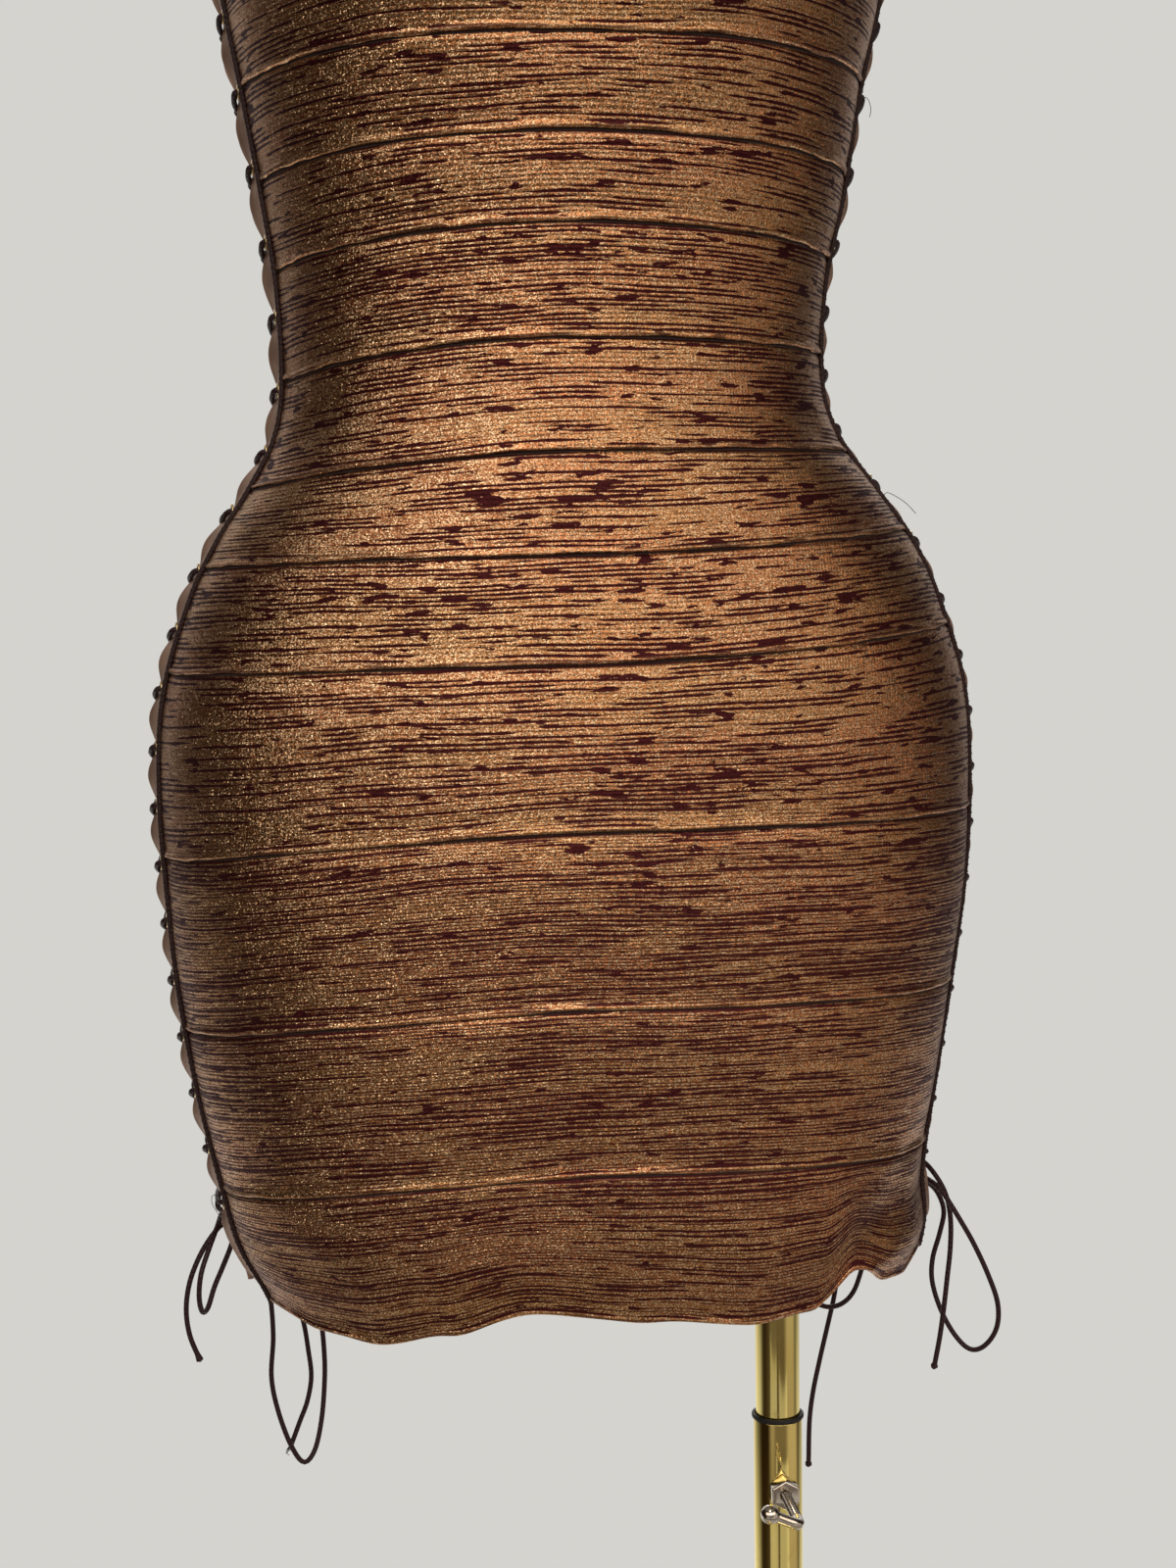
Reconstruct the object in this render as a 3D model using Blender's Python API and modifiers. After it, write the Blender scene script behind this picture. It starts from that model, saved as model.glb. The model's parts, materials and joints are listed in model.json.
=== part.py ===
"""Side-laced bandage dress on a limbless dress form, with its adjustable stand.

Units are metres and +Z is up. The origin is under the centre of the base plate.
The front faces -Y. Left and right are the viewer's, so right is +X.
The dress is a front and a back panel of thirteen knit bands each. Between them,
on each side, a cord laces two eyelet plackets together and ends in a bow.
"""
import functools
import math
from collections import namedtuple

import bmesh
import bpy
from mathutils import Vector

NAME = "bodycon_dress_on_form"
FRONT = "front"
BACK = "back"
SIDES = {"left": -1, "right": 1}

# Cloth and trims
CLOTH = 0.0016              # thickness of the knit wall
GAP = 0.0003                # room between pieces that meet
ROLL = 0.0008               # how far a band's rolled lower edge stands out
PIPING_RADIUS = 0.0011
PIPING_REACH = 0.02315      # from the side line to the middle of the piping
PANEL_REACH = 0.02455       # from the side line to the edge of the banded panel
PLACKET_INNER = 0.0077      # from the side line to the laced edge of the placket
PLACKET_OUTER = 0.02155     # from the side line to its sewn edge
PLACKET = 0.0014            # thickness of the placket
SCALLOP = 0.0022            # how far its laced edge bulges out between the eyelets
FRONT_COLUMNS = 13
BACK_COLUMNS = 11
EDGE_CROWDING = 0.45        # how much closer the columns stand at the panel's edges
PLACKET_TOP_DROP = 0.0020   # from the dress's top edge down to the placket
PLACKET_HEM_RISE = 0.0010   # from the hem up to it

# How far a band's face stands out, at shares of its height from its lower seam
BandRow = namedtuple("BandRow", "share out")
BAND_ROWS = (
    BandRow(0.0, ROLL),
    BandRow(0.5, 0.0003),
    BandRow(1.0, 0.0),
)

# Lacing
EYELET_REACH = 0.0150       # from the side line to the eyelets' middles
EYELET_HOLE = 0.0023
EYELET_RISE = 0.0009
CORD_RADIUS = 0.0012
CORD_STEP = 0.0072          # spacing of the points along a free cord
UPPER_EYELETS = 8
UPPER_PITCH = 0.031
UPPER_START = 1.271
LOWER_EYELETS = 14
LOWER_PITCH = 0.025
LOWER_START = 1.028
RIGHT_LIFT = 0.010          # how much higher the right side sits below the waist
LIFT_TOP = 1.130
LIFT_FADE = 0.120
CORD_OUTSIDE = 0.0032       # height of the cord's middle over an eyelet
CORD_INSIDE = -0.0041       # and its depth behind the placket
UNDER_EDGE = -0.0040        # its height as it passes under a laced edge
OVER_EDGE = 0.0039          # and over one
CROSS_OUTSIDE = 0.0032      # height of the outer strand where the two cross
CROSS_INSIDE = -0.0026      # and of the inner one

# Dress form
FORM_SIDE_INSET = 0.0088
FORM_EDGE_INSET = 0.0078
SOCKET_DEPTH = 0.120
SOCKET_RADIUS = 0.0105

# Stand
MAST_X = 0.093
MAST_RADIUS = 0.0101
MAST_WALL = 0.0012
MAST_CAP = 0.0030           # thickness of the mast's closed upper end
MAST_BOTTOM = 0.250
TUBE_BORE = 0.0104
TUBE_RADIUS = 0.0111
TUBE_TOP = 0.5880
RING_HEIGHT = 0.0030
RING_RADIUS = 0.0123
BASE_RADIUS = 0.205
BASE_THICKNESS = 0.006
FLANGE_RADIUS = 0.026
FLANGE_HEIGHT = 0.022
FLANGE_EDGE = 0.0030        # thickness of its foot
FLANGE_NECK = 0.0040        # wall of its neck
CLAMP_HEIGHT = 0.558
NUT_RADIUS = 0.0072
NUT_DEPTH = 0.0080
SCREW_RADIUS = 0.0025
SCREW_ELBOW = 0.053         # from the mast's axis to the screw's bend
SCREW_BEND = 0.005          # length of the bend on each side of its corner
LEVER_END = (-0.0135, 0.0060)   # from the bend to the ball, along X and Z
BORE_REACH = 0.030          # how far the clamp's cutters run out from the mast's axis
BALL_RADIUS = 0.0042

SECTION_POWER = 2.2         # 2 is an ellipse, more is squarer
FINE = 64                   # points on a fine half ring

Section = namedtuple("Section", "height half_width front back sway bust")
FIGURE = (
    Section(0.625, 0.1315, 0.078, 0.081, 0.0065, 0.000),
    Section(0.663, 0.1460, 0.089, 0.092, 0.0070, 0.000),
    Section(0.685, 0.1540, 0.097, 0.099, 0.0040, 0.000),
    Section(0.708, 0.1565, 0.101, 0.103, 0.0005, 0.000),
    Section(0.752, 0.1645, 0.106, 0.110, -0.001, 0.000),
    Section(0.796, 0.1714, 0.110, 0.116, -0.001, 0.000),
    Section(0.839, 0.1762, 0.112, 0.120, 0.000, 0.000),
    Section(0.883, 0.1784, 0.111, 0.122, 0.000, 0.000),
    Section(0.926, 0.1756, 0.108, 0.117, 0.000, 0.000),
    Section(0.968, 0.1625, 0.103, 0.106, 0.000, 0.000),
    Section(0.990, 0.1515, 0.099, 0.097, 0.000, 0.000),
    Section(1.011, 0.1370, 0.096, 0.087, -0.001, 0.000),
    Section(1.032, 0.1236, 0.093, 0.079, -0.003, 0.000),
    Section(1.053, 0.1180, 0.091, 0.075, -0.0045, 0.000),
    Section(1.095, 0.1190, 0.092, 0.075, -0.0045, 0.000),
    Section(1.136, 0.1260, 0.097, 0.079, -0.003, 0.001),
    Section(1.177, 0.1326, 0.105, 0.084, -0.003, 0.004),
    Section(1.218, 0.1406, 0.113, 0.089, -0.002, 0.011),
    Section(1.255, 0.1465, 0.115, 0.093, -0.001, 0.015),
    Section(1.290, 0.1485, 0.110, 0.096, 0.000, 0.011),
    Section(1.325, 0.1500, 0.101, 0.097, 0.000, 0.004),
    Section(1.360, 0.1600, 0.088, 0.095, 0.000, 0.000),
    Section(1.395, 0.1720, 0.073, 0.090, 0.000, 0.000),
    Section(1.418, 0.1640, 0.062, 0.084, 0.000, 0.000),
    Section(1.438, 0.1320, 0.055, 0.077, 0.000, 0.000),
    Section(1.455, 0.0900, 0.051, 0.070, 0.000, 0.000),
    Section(1.472, 0.0620, 0.049, 0.063, 0.000, 0.000),
    Section(1.500, 0.0540, 0.050, 0.057, 0.000, 0.000),
    Section(1.535, 0.0545, 0.052, 0.056, 0.000, 0.000),
)
BUST_SPACING = 0.068        # from the middle to the fullest point of each side
BUST_SPREAD = 0.040

# Height of each seam at the middle of the panel and at its two edges
Seam = namedtuple("Seam", "middle left right")
FRONT_SEAMS = (
    Seam(1.3120, 1.2990, 1.3010),
    Seam(1.2720, 1.2640, 1.2670),
    Seam(1.2290, 1.2215, 1.2245),
    Seam(1.1845, 1.1785, 1.1820),
    Seam(1.1483, 1.1400, 1.1430),
    Seam(1.1138, 1.1030, 1.1080),
    Seam(1.0688, 1.0570, 1.0670),
    Seam(1.0235, 1.0120, 1.0255),
    Seam(0.9820, 0.9790, 0.9915),
    Seam(0.9385, 0.9345, 0.9505),
    Seam(0.8718, 0.8560, 0.8705),
    Seam(0.7998, 0.7815, 0.7935),
    Seam(0.7305, 0.7110, 0.7210),
)
BACK_SEAMS = (
    Seam(1.2780, 1.2990, 1.3010),
    Seam(1.2440, 1.2640, 1.2670),
    Seam(1.2060, 1.2215, 1.2245),
    Seam(1.1680, 1.1785, 1.1820),
    Seam(1.1340, 1.1400, 1.1430),
    Seam(1.1010, 1.1030, 1.1080),
    Seam(1.0600, 1.0570, 1.0670),
    Seam(1.0200, 1.0120, 1.0255),
    Seam(0.9800, 0.9790, 0.9915),
    Seam(0.9300, 0.9345, 0.9505),
    Seam(0.8580, 0.8560, 0.8705),
    Seam(0.7840, 0.7815, 0.7935),
    Seam(0.7180, 0.7110, 0.7210),
)

# The wavy hem: height at a place across the panel, -1 at the left edge, 1 at the right
HemPoint = namedtuple("HemPoint", "place height")
FRONT_HEM = (
    HemPoint(-1.00, 0.6600),
    HemPoint(-0.86, 0.6550),
    HemPoint(-0.68, 0.6530),
    HemPoint(-0.45, 0.6595),
    HemPoint(-0.20, 0.6700),
    HemPoint(0.12, 0.6640),
    HemPoint(0.42, 0.6585),
    HemPoint(0.60, 0.6595),
    HemPoint(0.76, 0.6730),
    HemPoint(0.88, 0.6650),
    HemPoint(1.00, 0.6640),
)
BACK_HEM = (
    HemPoint(-1.00, 0.6600),
    HemPoint(-0.70, 0.6620),
    HemPoint(-0.35, 0.6700),
    HemPoint(0.00, 0.6680),
    HemPoint(0.40, 0.6720),
    HemPoint(0.75, 0.6660),
    HemPoint(1.00, 0.6640),
)

FormRow = namedtuple("FormRow", "height inset")
FORM_ROWS = (
    FormRow(0.7350, 0.0120),
    FormRow(0.7450, 0.0042),
    FormRow(0.8000, 0.0032),
    FormRow(0.8500, 0.0032),
    FormRow(0.8950, 0.0034),
    FormRow(0.9400, 0.0040),
    FormRow(0.9750, 0.0042),
    FormRow(1.0000, 0.0044),
    FormRow(1.0300, 0.0052),
    FormRow(1.0700, 0.0048),
    FormRow(1.1100, 0.0044),
    FormRow(1.1500, 0.0042),
    FormRow(1.2000, 0.0040),
    FormRow(1.2500, 0.0025),
    FormRow(1.3000, 0.0028),
    FormRow(1.3600, 0.0022),
    FormRow(1.4000, 0.0022),
    FormRow(1.4250, 0.0022),
    FormRow(1.4450, 0.0022),
    FormRow(1.4680, 0.0022),
    FormRow(1.5000, 0.0022),
    FormRow(1.5350, 0.0040),
)

# Bows: one knot on each side and the free cords that leave it. A direction at a knot
# has three shares: away from the body, towards the back and upwards.
KNOT_RADIUS = 0.0043
LACE_START = 0.0006         # from the knot's round surface to the lace's ends
BOW_START = 0.00075         # and to the ends of its loops and tails
BOW_RUN = 0.0033            # how far a bow's cord runs straight out of its knot
KNOT_REACH = -0.0295
KNOT_OUT = 0.0056
KNOT_TURN = math.radians(20)
KNOT_HEIGHTS = {"left": 0.6860, "right": 0.6905}
LACE_ENDS = {FRONT: (0.15, -0.98, 0.10), BACK: (0.05, -0.45, 0.89)}

# Where the lace's two ends run on their way from the last eyelets to the knot: how far
# above the knot, how far from the side line and how far outside the skin
LaceEnd = namedtuple("LaceEnd", "strand rise reach out")
LACE_ROUTES = (
    LaceEnd(FRONT, 0.0120, 0.0, 0.0045),
    LaceEnd(FRONT, 0.0050, -0.0130, 0.0050),
    LaceEnd(BACK, 0.0145, -0.0210, 0.0045),
)

BowCord = namedtuple("BowCord", "name side leaves route returns")
BOWS = (
    BowCord("bow_left_outer_tail", "left", (0.75, 0.00, -0.66), (
        (-0.1605, 0.0305, 0.6785),
        (-0.1675, 0.0280, 0.6690),
        (-0.1730, 0.0265, 0.6565),
        (-0.1752, 0.0260, 0.6435),
        (-0.1740, 0.0260, 0.6310),
        (-0.1697, 0.0260, 0.6190),
    ), None),
    BowCord("bow_left_outer_loop", "left", (0.80, -0.60, 0.00), (
        (-0.1600, 0.0210, 0.6820),
        (-0.1635, 0.0140, 0.6740),
        (-0.1670, 0.0100, 0.6640),
        (-0.1682, 0.0100, 0.6535),
        (-0.1672, 0.0135, 0.6455),
        (-0.1650, 0.0190, 0.6455),
        (-0.1620, 0.0225, 0.6540),
        (-0.1580, 0.0235, 0.6630),
        (-0.1540, 0.0255, 0.6725),
    ), (0.10, -0.45, -0.88)),
    BowCord("bow_left_inner_loop", "left", (0.05, 0.62, -0.78), (
        (-0.1470, 0.0440, 0.6745),
        (-0.1430, 0.0560, 0.6600),
        (-0.1390, 0.0655, 0.6390),
        (-0.1378, 0.0705, 0.6150),
        (-0.1392, 0.0720, 0.5938),
        (-0.1364, 0.0720, 0.5767),
        (-0.1307, 0.0720, 0.5595),
        (-0.1249, 0.0730, 0.5506),
        (-0.1196, 0.0750, 0.5554),
        (-0.1161, 0.0780, 0.5687),
        (-0.1143, 0.0800, 0.5849),
        (-0.1139, 0.0805, 0.6000),
        (-0.1155, 0.0800, 0.6200),
        (-0.1210, 0.0770, 0.6450),
        (-0.1330, 0.0680, 0.6700),
        (-0.1430, 0.0560, 0.6860),
        (-0.1495, 0.0440, 0.6935),
    ), (0.30, 0.70, 0.65)),
    BowCord("bow_left_inner_tail", "left", (0.55, 0.80, -0.20), (
        (-0.1535, 0.0450, 0.6815),
        (-0.1500, 0.0590, 0.6715),
        (-0.1400, 0.0740, 0.6540),
        (-0.1300, 0.0850, 0.6350),
        (-0.1242, 0.0885, 0.6168),
        (-0.1216, 0.0885, 0.5996),
        (-0.1206, 0.0880, 0.5873),
        (-0.1228, 0.0875, 0.5755),
        (-0.1266, 0.0870, 0.5658),
        (-0.1308, 0.0865, 0.5550),
    ), None),
    BowCord("bow_right_outer_loop", "right", (0.80, -0.60, 0.00), (
        (0.1685, 0.0235, 0.6905),
        (0.1730, 0.0180, 0.6875),
        (0.1765, 0.0160, 0.6825),
        (0.1816, 0.0140, 0.6738),
        (0.1886, 0.0140, 0.6614),
        (0.1956, 0.0140, 0.6461),
        (0.2003, 0.0140, 0.6319),
        (0.2001, 0.0150, 0.6198),
        (0.1953, 0.0180, 0.6106),
        (0.1894, 0.0220, 0.6078),
        (0.1833, 0.0260, 0.6133),
        (0.1772, 0.0290, 0.6248),
        (0.1737, 0.0320, 0.6379),
        (0.1745, 0.0345, 0.6485),
        (0.1783, 0.0360, 0.6602),
        (0.1806, 0.0370, 0.6704),
        (0.1780, 0.0375, 0.6790),
        (0.1735, 0.0370, 0.6842),
        (0.1685, 0.0362, 0.6862),
    ), (0.85, 0.35, -0.40)),
    BowCord("bow_right_outer_tail", "right", (0.80, 0.05, 0.60), (
        (0.1688, 0.0330, 0.6965),
        (0.1735, 0.0270, 0.6915),
        (0.1783, 0.0250, 0.6822),
        (0.1804, 0.0240, 0.6708),
        (0.1799, 0.0225, 0.6568),
        (0.1780, 0.0210, 0.6428),
        (0.1761, 0.0200, 0.6288),
        (0.1742, 0.0200, 0.6152),
        (0.1718, 0.0200, 0.6025),
    ), None),
    BowCord("bow_right_inner_tail", "right", (0.15, 0.75, -0.65), (
        (0.1572, 0.0430, 0.6800),
        (0.1535, 0.0570, 0.6685),
        (0.1455, 0.0700, 0.6510),
        (0.1390, 0.0770, 0.6330),
        (0.1356, 0.0785, 0.6156),
        (0.1323, 0.0785, 0.6016),
        (0.1288, 0.0780, 0.5874),
        (0.1252, 0.0775, 0.5712),
        (0.1232, 0.0770, 0.5564),
        (0.1226, 0.0770, 0.5360),
    ), None),
    BowCord("bow_right_inner_loop", "right", (0.05, -0.20, -0.98), (
        (0.1590, 0.0345, 0.6780),
        (0.1557, 0.0450, 0.6680),
        (0.1505, 0.0580, 0.6540),
        (0.1478, 0.0660, 0.6370),
        (0.1441, 0.0695, 0.6235),
        (0.1381, 0.0705, 0.6170),
        (0.1307, 0.0720, 0.6155),
        (0.1243, 0.0750, 0.6190),
        (0.1225, 0.0780, 0.6290),
        (0.1255, 0.0785, 0.6480),
        (0.1330, 0.0755, 0.6680),
        (0.1430, 0.0660, 0.6850),
        (0.1545, 0.0500, 0.6955),
    ), (0.25, 0.85, 0.45)),
)


# ---------------------------------------------------------------- scene helpers
def clear_scene():
    for old in list(bpy.data.objects):
        bpy.data.objects.remove(old, do_unlink=True)


def make_collection(name):
    collection = bpy.data.collections.new(name)
    bpy.context.scene.collection.children.link(collection)
    return collection


def material(name, colour, roughness, metallic=0.0):
    made = bpy.data.materials.new(name)
    made.use_nodes = True
    shader = made.node_tree.nodes["Principled BSDF"]
    shader.inputs["Base Color"].default_value = (*colour, 1.0)
    shader.inputs["Roughness"].default_value = roughness
    shader.inputs["Metallic"].default_value = metallic
    return made


def joint_empty(name, place, collection, parent=None):
    """An empty on a joint's axis, which the pieces of that body hang from."""
    empty = bpy.data.objects.new(name, None)
    empty.empty_display_size = 0.05
    empty.location = Vector(place) - (Vector(parent.location) if parent else Vector())
    empty.parent = parent
    collection.objects.link(empty)
    return empty


def place_under(piece, parent, parent_place):
    """Hang a piece that is modelled in world places under a joint's empty."""
    piece.parent = parent
    piece.location = -Vector(parent_place)


def mesh_object(name, mesh, finish, collection):
    mesh.materials.append(finish)
    mesh.shade_smooth()
    mesh.set_sharp_from_angle(angle=math.radians(40))
    piece = bpy.data.objects.new(name, mesh)
    collection.objects.link(piece)
    return piece


def closed_mesh(name, points, faces):
    """A mesh from points and faces, with its normals turned outwards."""
    mesh = bpy.data.meshes.new(name)
    mesh.from_pydata([tuple(point) for point in points], [], faces)
    shape = bmesh.new()
    shape.from_mesh(mesh)
    bmesh.ops.recalc_face_normals(shape, faces=shape.faces)
    shape.to_mesh(mesh)
    shape.free()
    return mesh


def turned(name, profile, finish, collection, steps=24, closed=False):
    """A profile of (radius, height) rows turned about its own Z axis."""
    count = len(profile)
    edges = [(i, i + 1) for i in range(count - 1)]
    if closed:
        edges.append((count - 1, 0))
    mesh = bpy.data.meshes.new(name)
    mesh.from_pydata([(radius, 0.0, height) for radius, height in profile], edges, [])
    mesh.materials.append(finish)
    piece = bpy.data.objects.new(name, mesh)
    collection.objects.link(piece)
    screw = piece.modifiers.new("turn", "SCREW")
    screw.axis = "Z"
    screw.angle = 2 * math.pi
    screw.steps = steps
    screw.render_steps = steps
    screw.use_merge_vertices = True
    screw.merge_threshold = 0.00001
    screw.use_smooth_shade = True
    return piece


def cut(piece, cutter, name):
    """Take the cutter away from the piece."""
    boolean = piece.modifiers.new(name, "BOOLEAN")
    boolean.operation = "DIFFERENCE"
    boolean.solver = "EXACT"
    boolean.object = cutter


def cutter_rod(name, radius, start, end, sides, collection):
    """A hidden round rod from start to end, for cutting a bore."""
    start, end = Vector(start), Vector(end)
    shape = bmesh.new()
    bmesh.ops.create_cone(shape, cap_ends=True, segments=sides, radius1=radius,
                          radius2=radius, depth=(end - start).length)
    mesh = bpy.data.meshes.new(name)
    shape.to_mesh(mesh)
    shape.free()
    rod = bpy.data.objects.new(name, mesh)
    rod.rotation_euler = (end - start).to_track_quat("Z", "Y").to_euler()
    rod.location = (start + end) / 2
    rod.hide_render = True
    rod.display_type = "WIRE"
    collection.objects.link(rod)
    return rod


def tube(name, points, radius, finish, collection, resolution=2):
    """A round cord or pipe along a list of points, with filled ends."""
    curve = bpy.data.curves.new(name, "CURVE")
    curve.dimensions = "3D"
    curve.bevel_depth = radius
    curve.bevel_resolution = resolution
    curve.use_fill_caps = True
    spline = curve.splines.new("POLY")
    spline.points.add(len(points) - 1)
    for knot, point in zip(spline.points, points):
        knot.co = (*point, 1.0)
    curve.materials.append(finish)
    piece = bpy.data.objects.new(name, curve)
    collection.objects.link(piece)
    return piece


def smooth_route(route, step):
    """Points every step along a smooth curve through the route's own points."""
    knots = [Vector(point) for point in route]
    knots = [2 * knots[0] - knots[1]] + knots + [2 * knots[-1] - knots[-2]]
    fine = []
    for p0, p1, p2, p3 in zip(knots, knots[1:], knots[2:], knots[3:]):
        for k in range(12):
            t = k / 12
            fine.append(0.5 * (2 * p1 + (p2 - p0) * t
                               + (2 * p0 - 5 * p1 + 4 * p2 - p3) * t ** 2
                               + (3 * p1 - p0 - 3 * p2 + p3) * t ** 3))
    fine.append(knots[-2])
    lengths = [0.0]
    for a, b in zip(fine, fine[1:]):
        lengths.append(lengths[-1] + (b - a).length)
    count = max(2, round(lengths[-1] / step))
    points, i = [], 0
    for k in range(count + 1):
        target = lengths[-1] * k / count
        while i < len(lengths) - 2 and lengths[i + 1] < target:
            i += 1
        share = (target - lengths[i]) / max(lengths[i + 1] - lengths[i], 1e-9)
        points.append(fine[i].lerp(fine[i + 1], min(share, 1.0)))
    return points


# ------------------------------------------------------------- the dress's skin
def hermite(rows, height):
    """Read every column of a table of rows at a height, smoothly."""
    if height <= rows[0].height:
        return rows[0]
    if height >= rows[-1].height:
        return rows[-1]
    i = 0
    while rows[i + 1].height < height:
        i += 1
    low, high = rows[i], rows[i + 1]
    span = high.height - low.height
    t = (height - low.height) / span

    def slope(j, column):
        a, b = rows[max(j - 1, 0)], rows[min(j + 1, len(rows) - 1)]
        return (b[column] - a[column]) / (b.height - a.height)

    values = []
    for column in range(len(low)):
        m0 = slope(i, column) * span
        m1 = slope(i + 1, column) * span
        values.append((2 * t ** 3 - 3 * t ** 2 + 1) * low[column]
                      + (t ** 3 - 2 * t ** 2 + t) * m0
                      + (3 * t ** 2 - 2 * t ** 3) * high[column]
                      + (t ** 3 - t ** 2) * m1)
    return type(low)(*values)


def signed_power(value, power):
    return math.copysign(abs(value) ** power, value)


@functools.lru_cache(maxsize=None)
def half_ring(height, face):
    """The skin's outline at a height, from the right side line to the left.

    Returns its points, their outward directions and their distances along it.
    """
    row = hermite(FIGURE, height)
    depth = row.front if face == FRONT else row.back
    forward = -1 if face == FRONT else 1
    points = []
    for k in range(FINE + 1):
        angle = math.pi * k / FINE
        x = row.half_width * signed_power(math.cos(angle), 2 / SECTION_POWER)
        y = depth * abs(math.sin(angle)) ** (2 / SECTION_POWER)
        if face == FRONT:
            mounds = (math.exp(-((x - BUST_SPACING) / BUST_SPREAD) ** 2)
                      + math.exp(-((x + BUST_SPACING) / BUST_SPREAD) ** 2))
            y += row.bust * mounds * math.sin(angle)
        points.append((x + row.sway, forward * y))
    normals = []
    for k in range(FINE + 1):
        before, after = points[max(k - 1, 0)], points[min(k + 1, FINE)]
        normals.append(outward(after[1] - before[1], before[0] - after[0],
                               points[k], row.sway))
    normals[0], normals[-1] = (1.0, 0.0), (-1.0, 0.0)
    runs = [0.0]
    for a, b in zip(points, points[1:]):
        runs.append(runs[-1] + math.hypot(b[0] - a[0], b[1] - a[1]))
    return points, normals, runs


def outward(x, y, point, middle):
    """The direction (x, y) at unit length, turned away from the body's middle."""
    size = math.hypot(x, y)
    if x * (point[0] - middle) + y * point[1] < 0:
        size = -size
    return x / size, y / size


def skin(height, face, run, out=0.0):
    """A point of the skin, a run from the right side line, moved outwards."""
    points, normals, runs = half_ring(round(height, 6), face)
    run = min(max(run, 0.0), runs[-1])
    i = 0
    while i < FINE - 1 and runs[i + 1] < run:
        i += 1
    share = (run - runs[i]) / (runs[i + 1] - runs[i])
    x = points[i][0] + (points[i + 1][0] - points[i][0]) * share
    y = points[i][1] + (points[i + 1][1] - points[i][1]) * share
    nx = normals[i][0] + (normals[i + 1][0] - normals[i][0]) * share
    ny = normals[i][1] + (normals[i + 1][1] - normals[i][1]) * share
    size = math.hypot(nx, ny)
    return Vector((x + nx / size * out, y + ny / size * out, height))


def half_length(height, face):
    return half_ring(round(height, 6), face)[2][-1]


def side_skin(height, side, reach, out=0.0):
    """A point near a side line: reach runs to the front, or to the back if negative."""
    face = FRONT if reach >= 0 else BACK
    run = abs(reach)
    if side < 0:
        run = half_length(height, face) - run
    return skin(height, face, run, out)


def panel_run(height, face, place):
    """The run of a place across the banded panel: 0 is its right edge, 1 its left."""
    crowded = place - EDGE_CROWDING * math.sin(2 * math.pi * place) / (2 * math.pi)
    width = half_length(height, face) - 2 * PANEL_REACH
    return PANEL_REACH + width * crowded


def hem_height(points, place):
    """The hem's height at a place from -1 to 1 across the panel."""
    i = 0
    while i < len(points) - 2 and points[i + 1].place < place:
        i += 1
    low, high = points[i], points[i + 1]
    t = (place - low.place) / (high.place - low.place)
    t = min(max(t, 0.0), 1.0)
    return low.height + (high.height - low.height) * t * t * (3 - 2 * t)


def seam_height(face, index, place):
    """Height of a seam at a place across the panel; the last one is the hem."""
    seams = FRONT_SEAMS if face == FRONT else BACK_SEAMS
    if index == len(seams):
        return hem_height(FRONT_HEM if face == FRONT else BACK_HEM, place)
    seam = seams[index]
    end = seam.right if place > 0 else seam.left
    return seam.middle + (end - seam.middle) * abs(place) ** 1.5


# ------------------------------------------------------------------ the pieces
def knit_band(face, index, finish, collection):
    """One band of the panel: a wall between two seams, rolled at its lower edge."""
    columns = FRONT_COLUMNS if face == FRONT else BACK_COLUMNS
    points = []
    for depth in (0.0, CLOTH):
        for row in BAND_ROWS:
            for column in range(columns + 1):
                across = column / columns
                place = math.cos(math.pi * across)
                top = seam_height(face, index, place) - GAP / 2
                bottom = seam_height(face, index + 1, place) + GAP / 2
                height = bottom + (top - bottom) * row.share
                run = panel_run(height, face, across)
                points.append(skin(height, face, run, row.out - depth))
    wide = columns + 1
    layer = wide * len(BAND_ROWS)
    faces = []
    for base in (0, layer):
        for row in range(len(BAND_ROWS) - 1):
            for column in range(columns):
                a = base + row * wide + column
                faces.append((a, a + 1, a + 1 + wide, a + wide))
    for row_start in (0, layer - wide):
        for column in range(columns):
            a = row_start + column
            faces.append((a, a + 1, a + 1 + layer, a + layer))
    for edge in (0, columns):
        for row in range(len(BAND_ROWS) - 1):
            a = row * wide + edge
            faces.append((a, a + wide, a + wide + layer, a + layer))
    name = f"{face}_band_{index + 1:02d}"
    return mesh_object(name, closed_mesh(name, points, faces), finish, collection)


def edge_heights(face, side):
    """Heights where the piping bends: at each seam and halfway between them."""
    seams = len(FRONT_SEAMS)
    levels = [seam_height(face, index, side) for index in range(seams + 1)]
    heights = [levels[0]]
    for above, below in zip(levels, levels[1:]):
        heights.extend(((above + below) / 2, below))
    return heights


def edge_piping(face, side_name, finish, collection):
    """The corded piping along one edge of a panel."""
    side = SIDES[side_name]
    toward = 1 if face == FRONT else -1
    points = [side_skin(height, side, toward * PIPING_REACH, -CLOTH / 4)
              for height in edge_heights(face, side)]
    return tube(f"piping_{face}_{side_name}", points, PIPING_RADIUS, finish, collection, 0)


def eyelet_heights(side):
    """Heights of the eyelets on a side, from the top down."""
    heights = [UPPER_START - UPPER_PITCH * k for k in range(UPPER_EYELETS)]
    heights += [LOWER_START - LOWER_PITCH * k for k in range(LOWER_EYELETS)]
    if side < 0:
        return heights
    lifted = []
    for height in heights:
        t = min(max((LIFT_TOP - height) / LIFT_FADE, 0.0), 1.0)
        lifted.append(height + RIGHT_LIFT * t * t * (3 - 2 * t))
    return lifted


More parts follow.
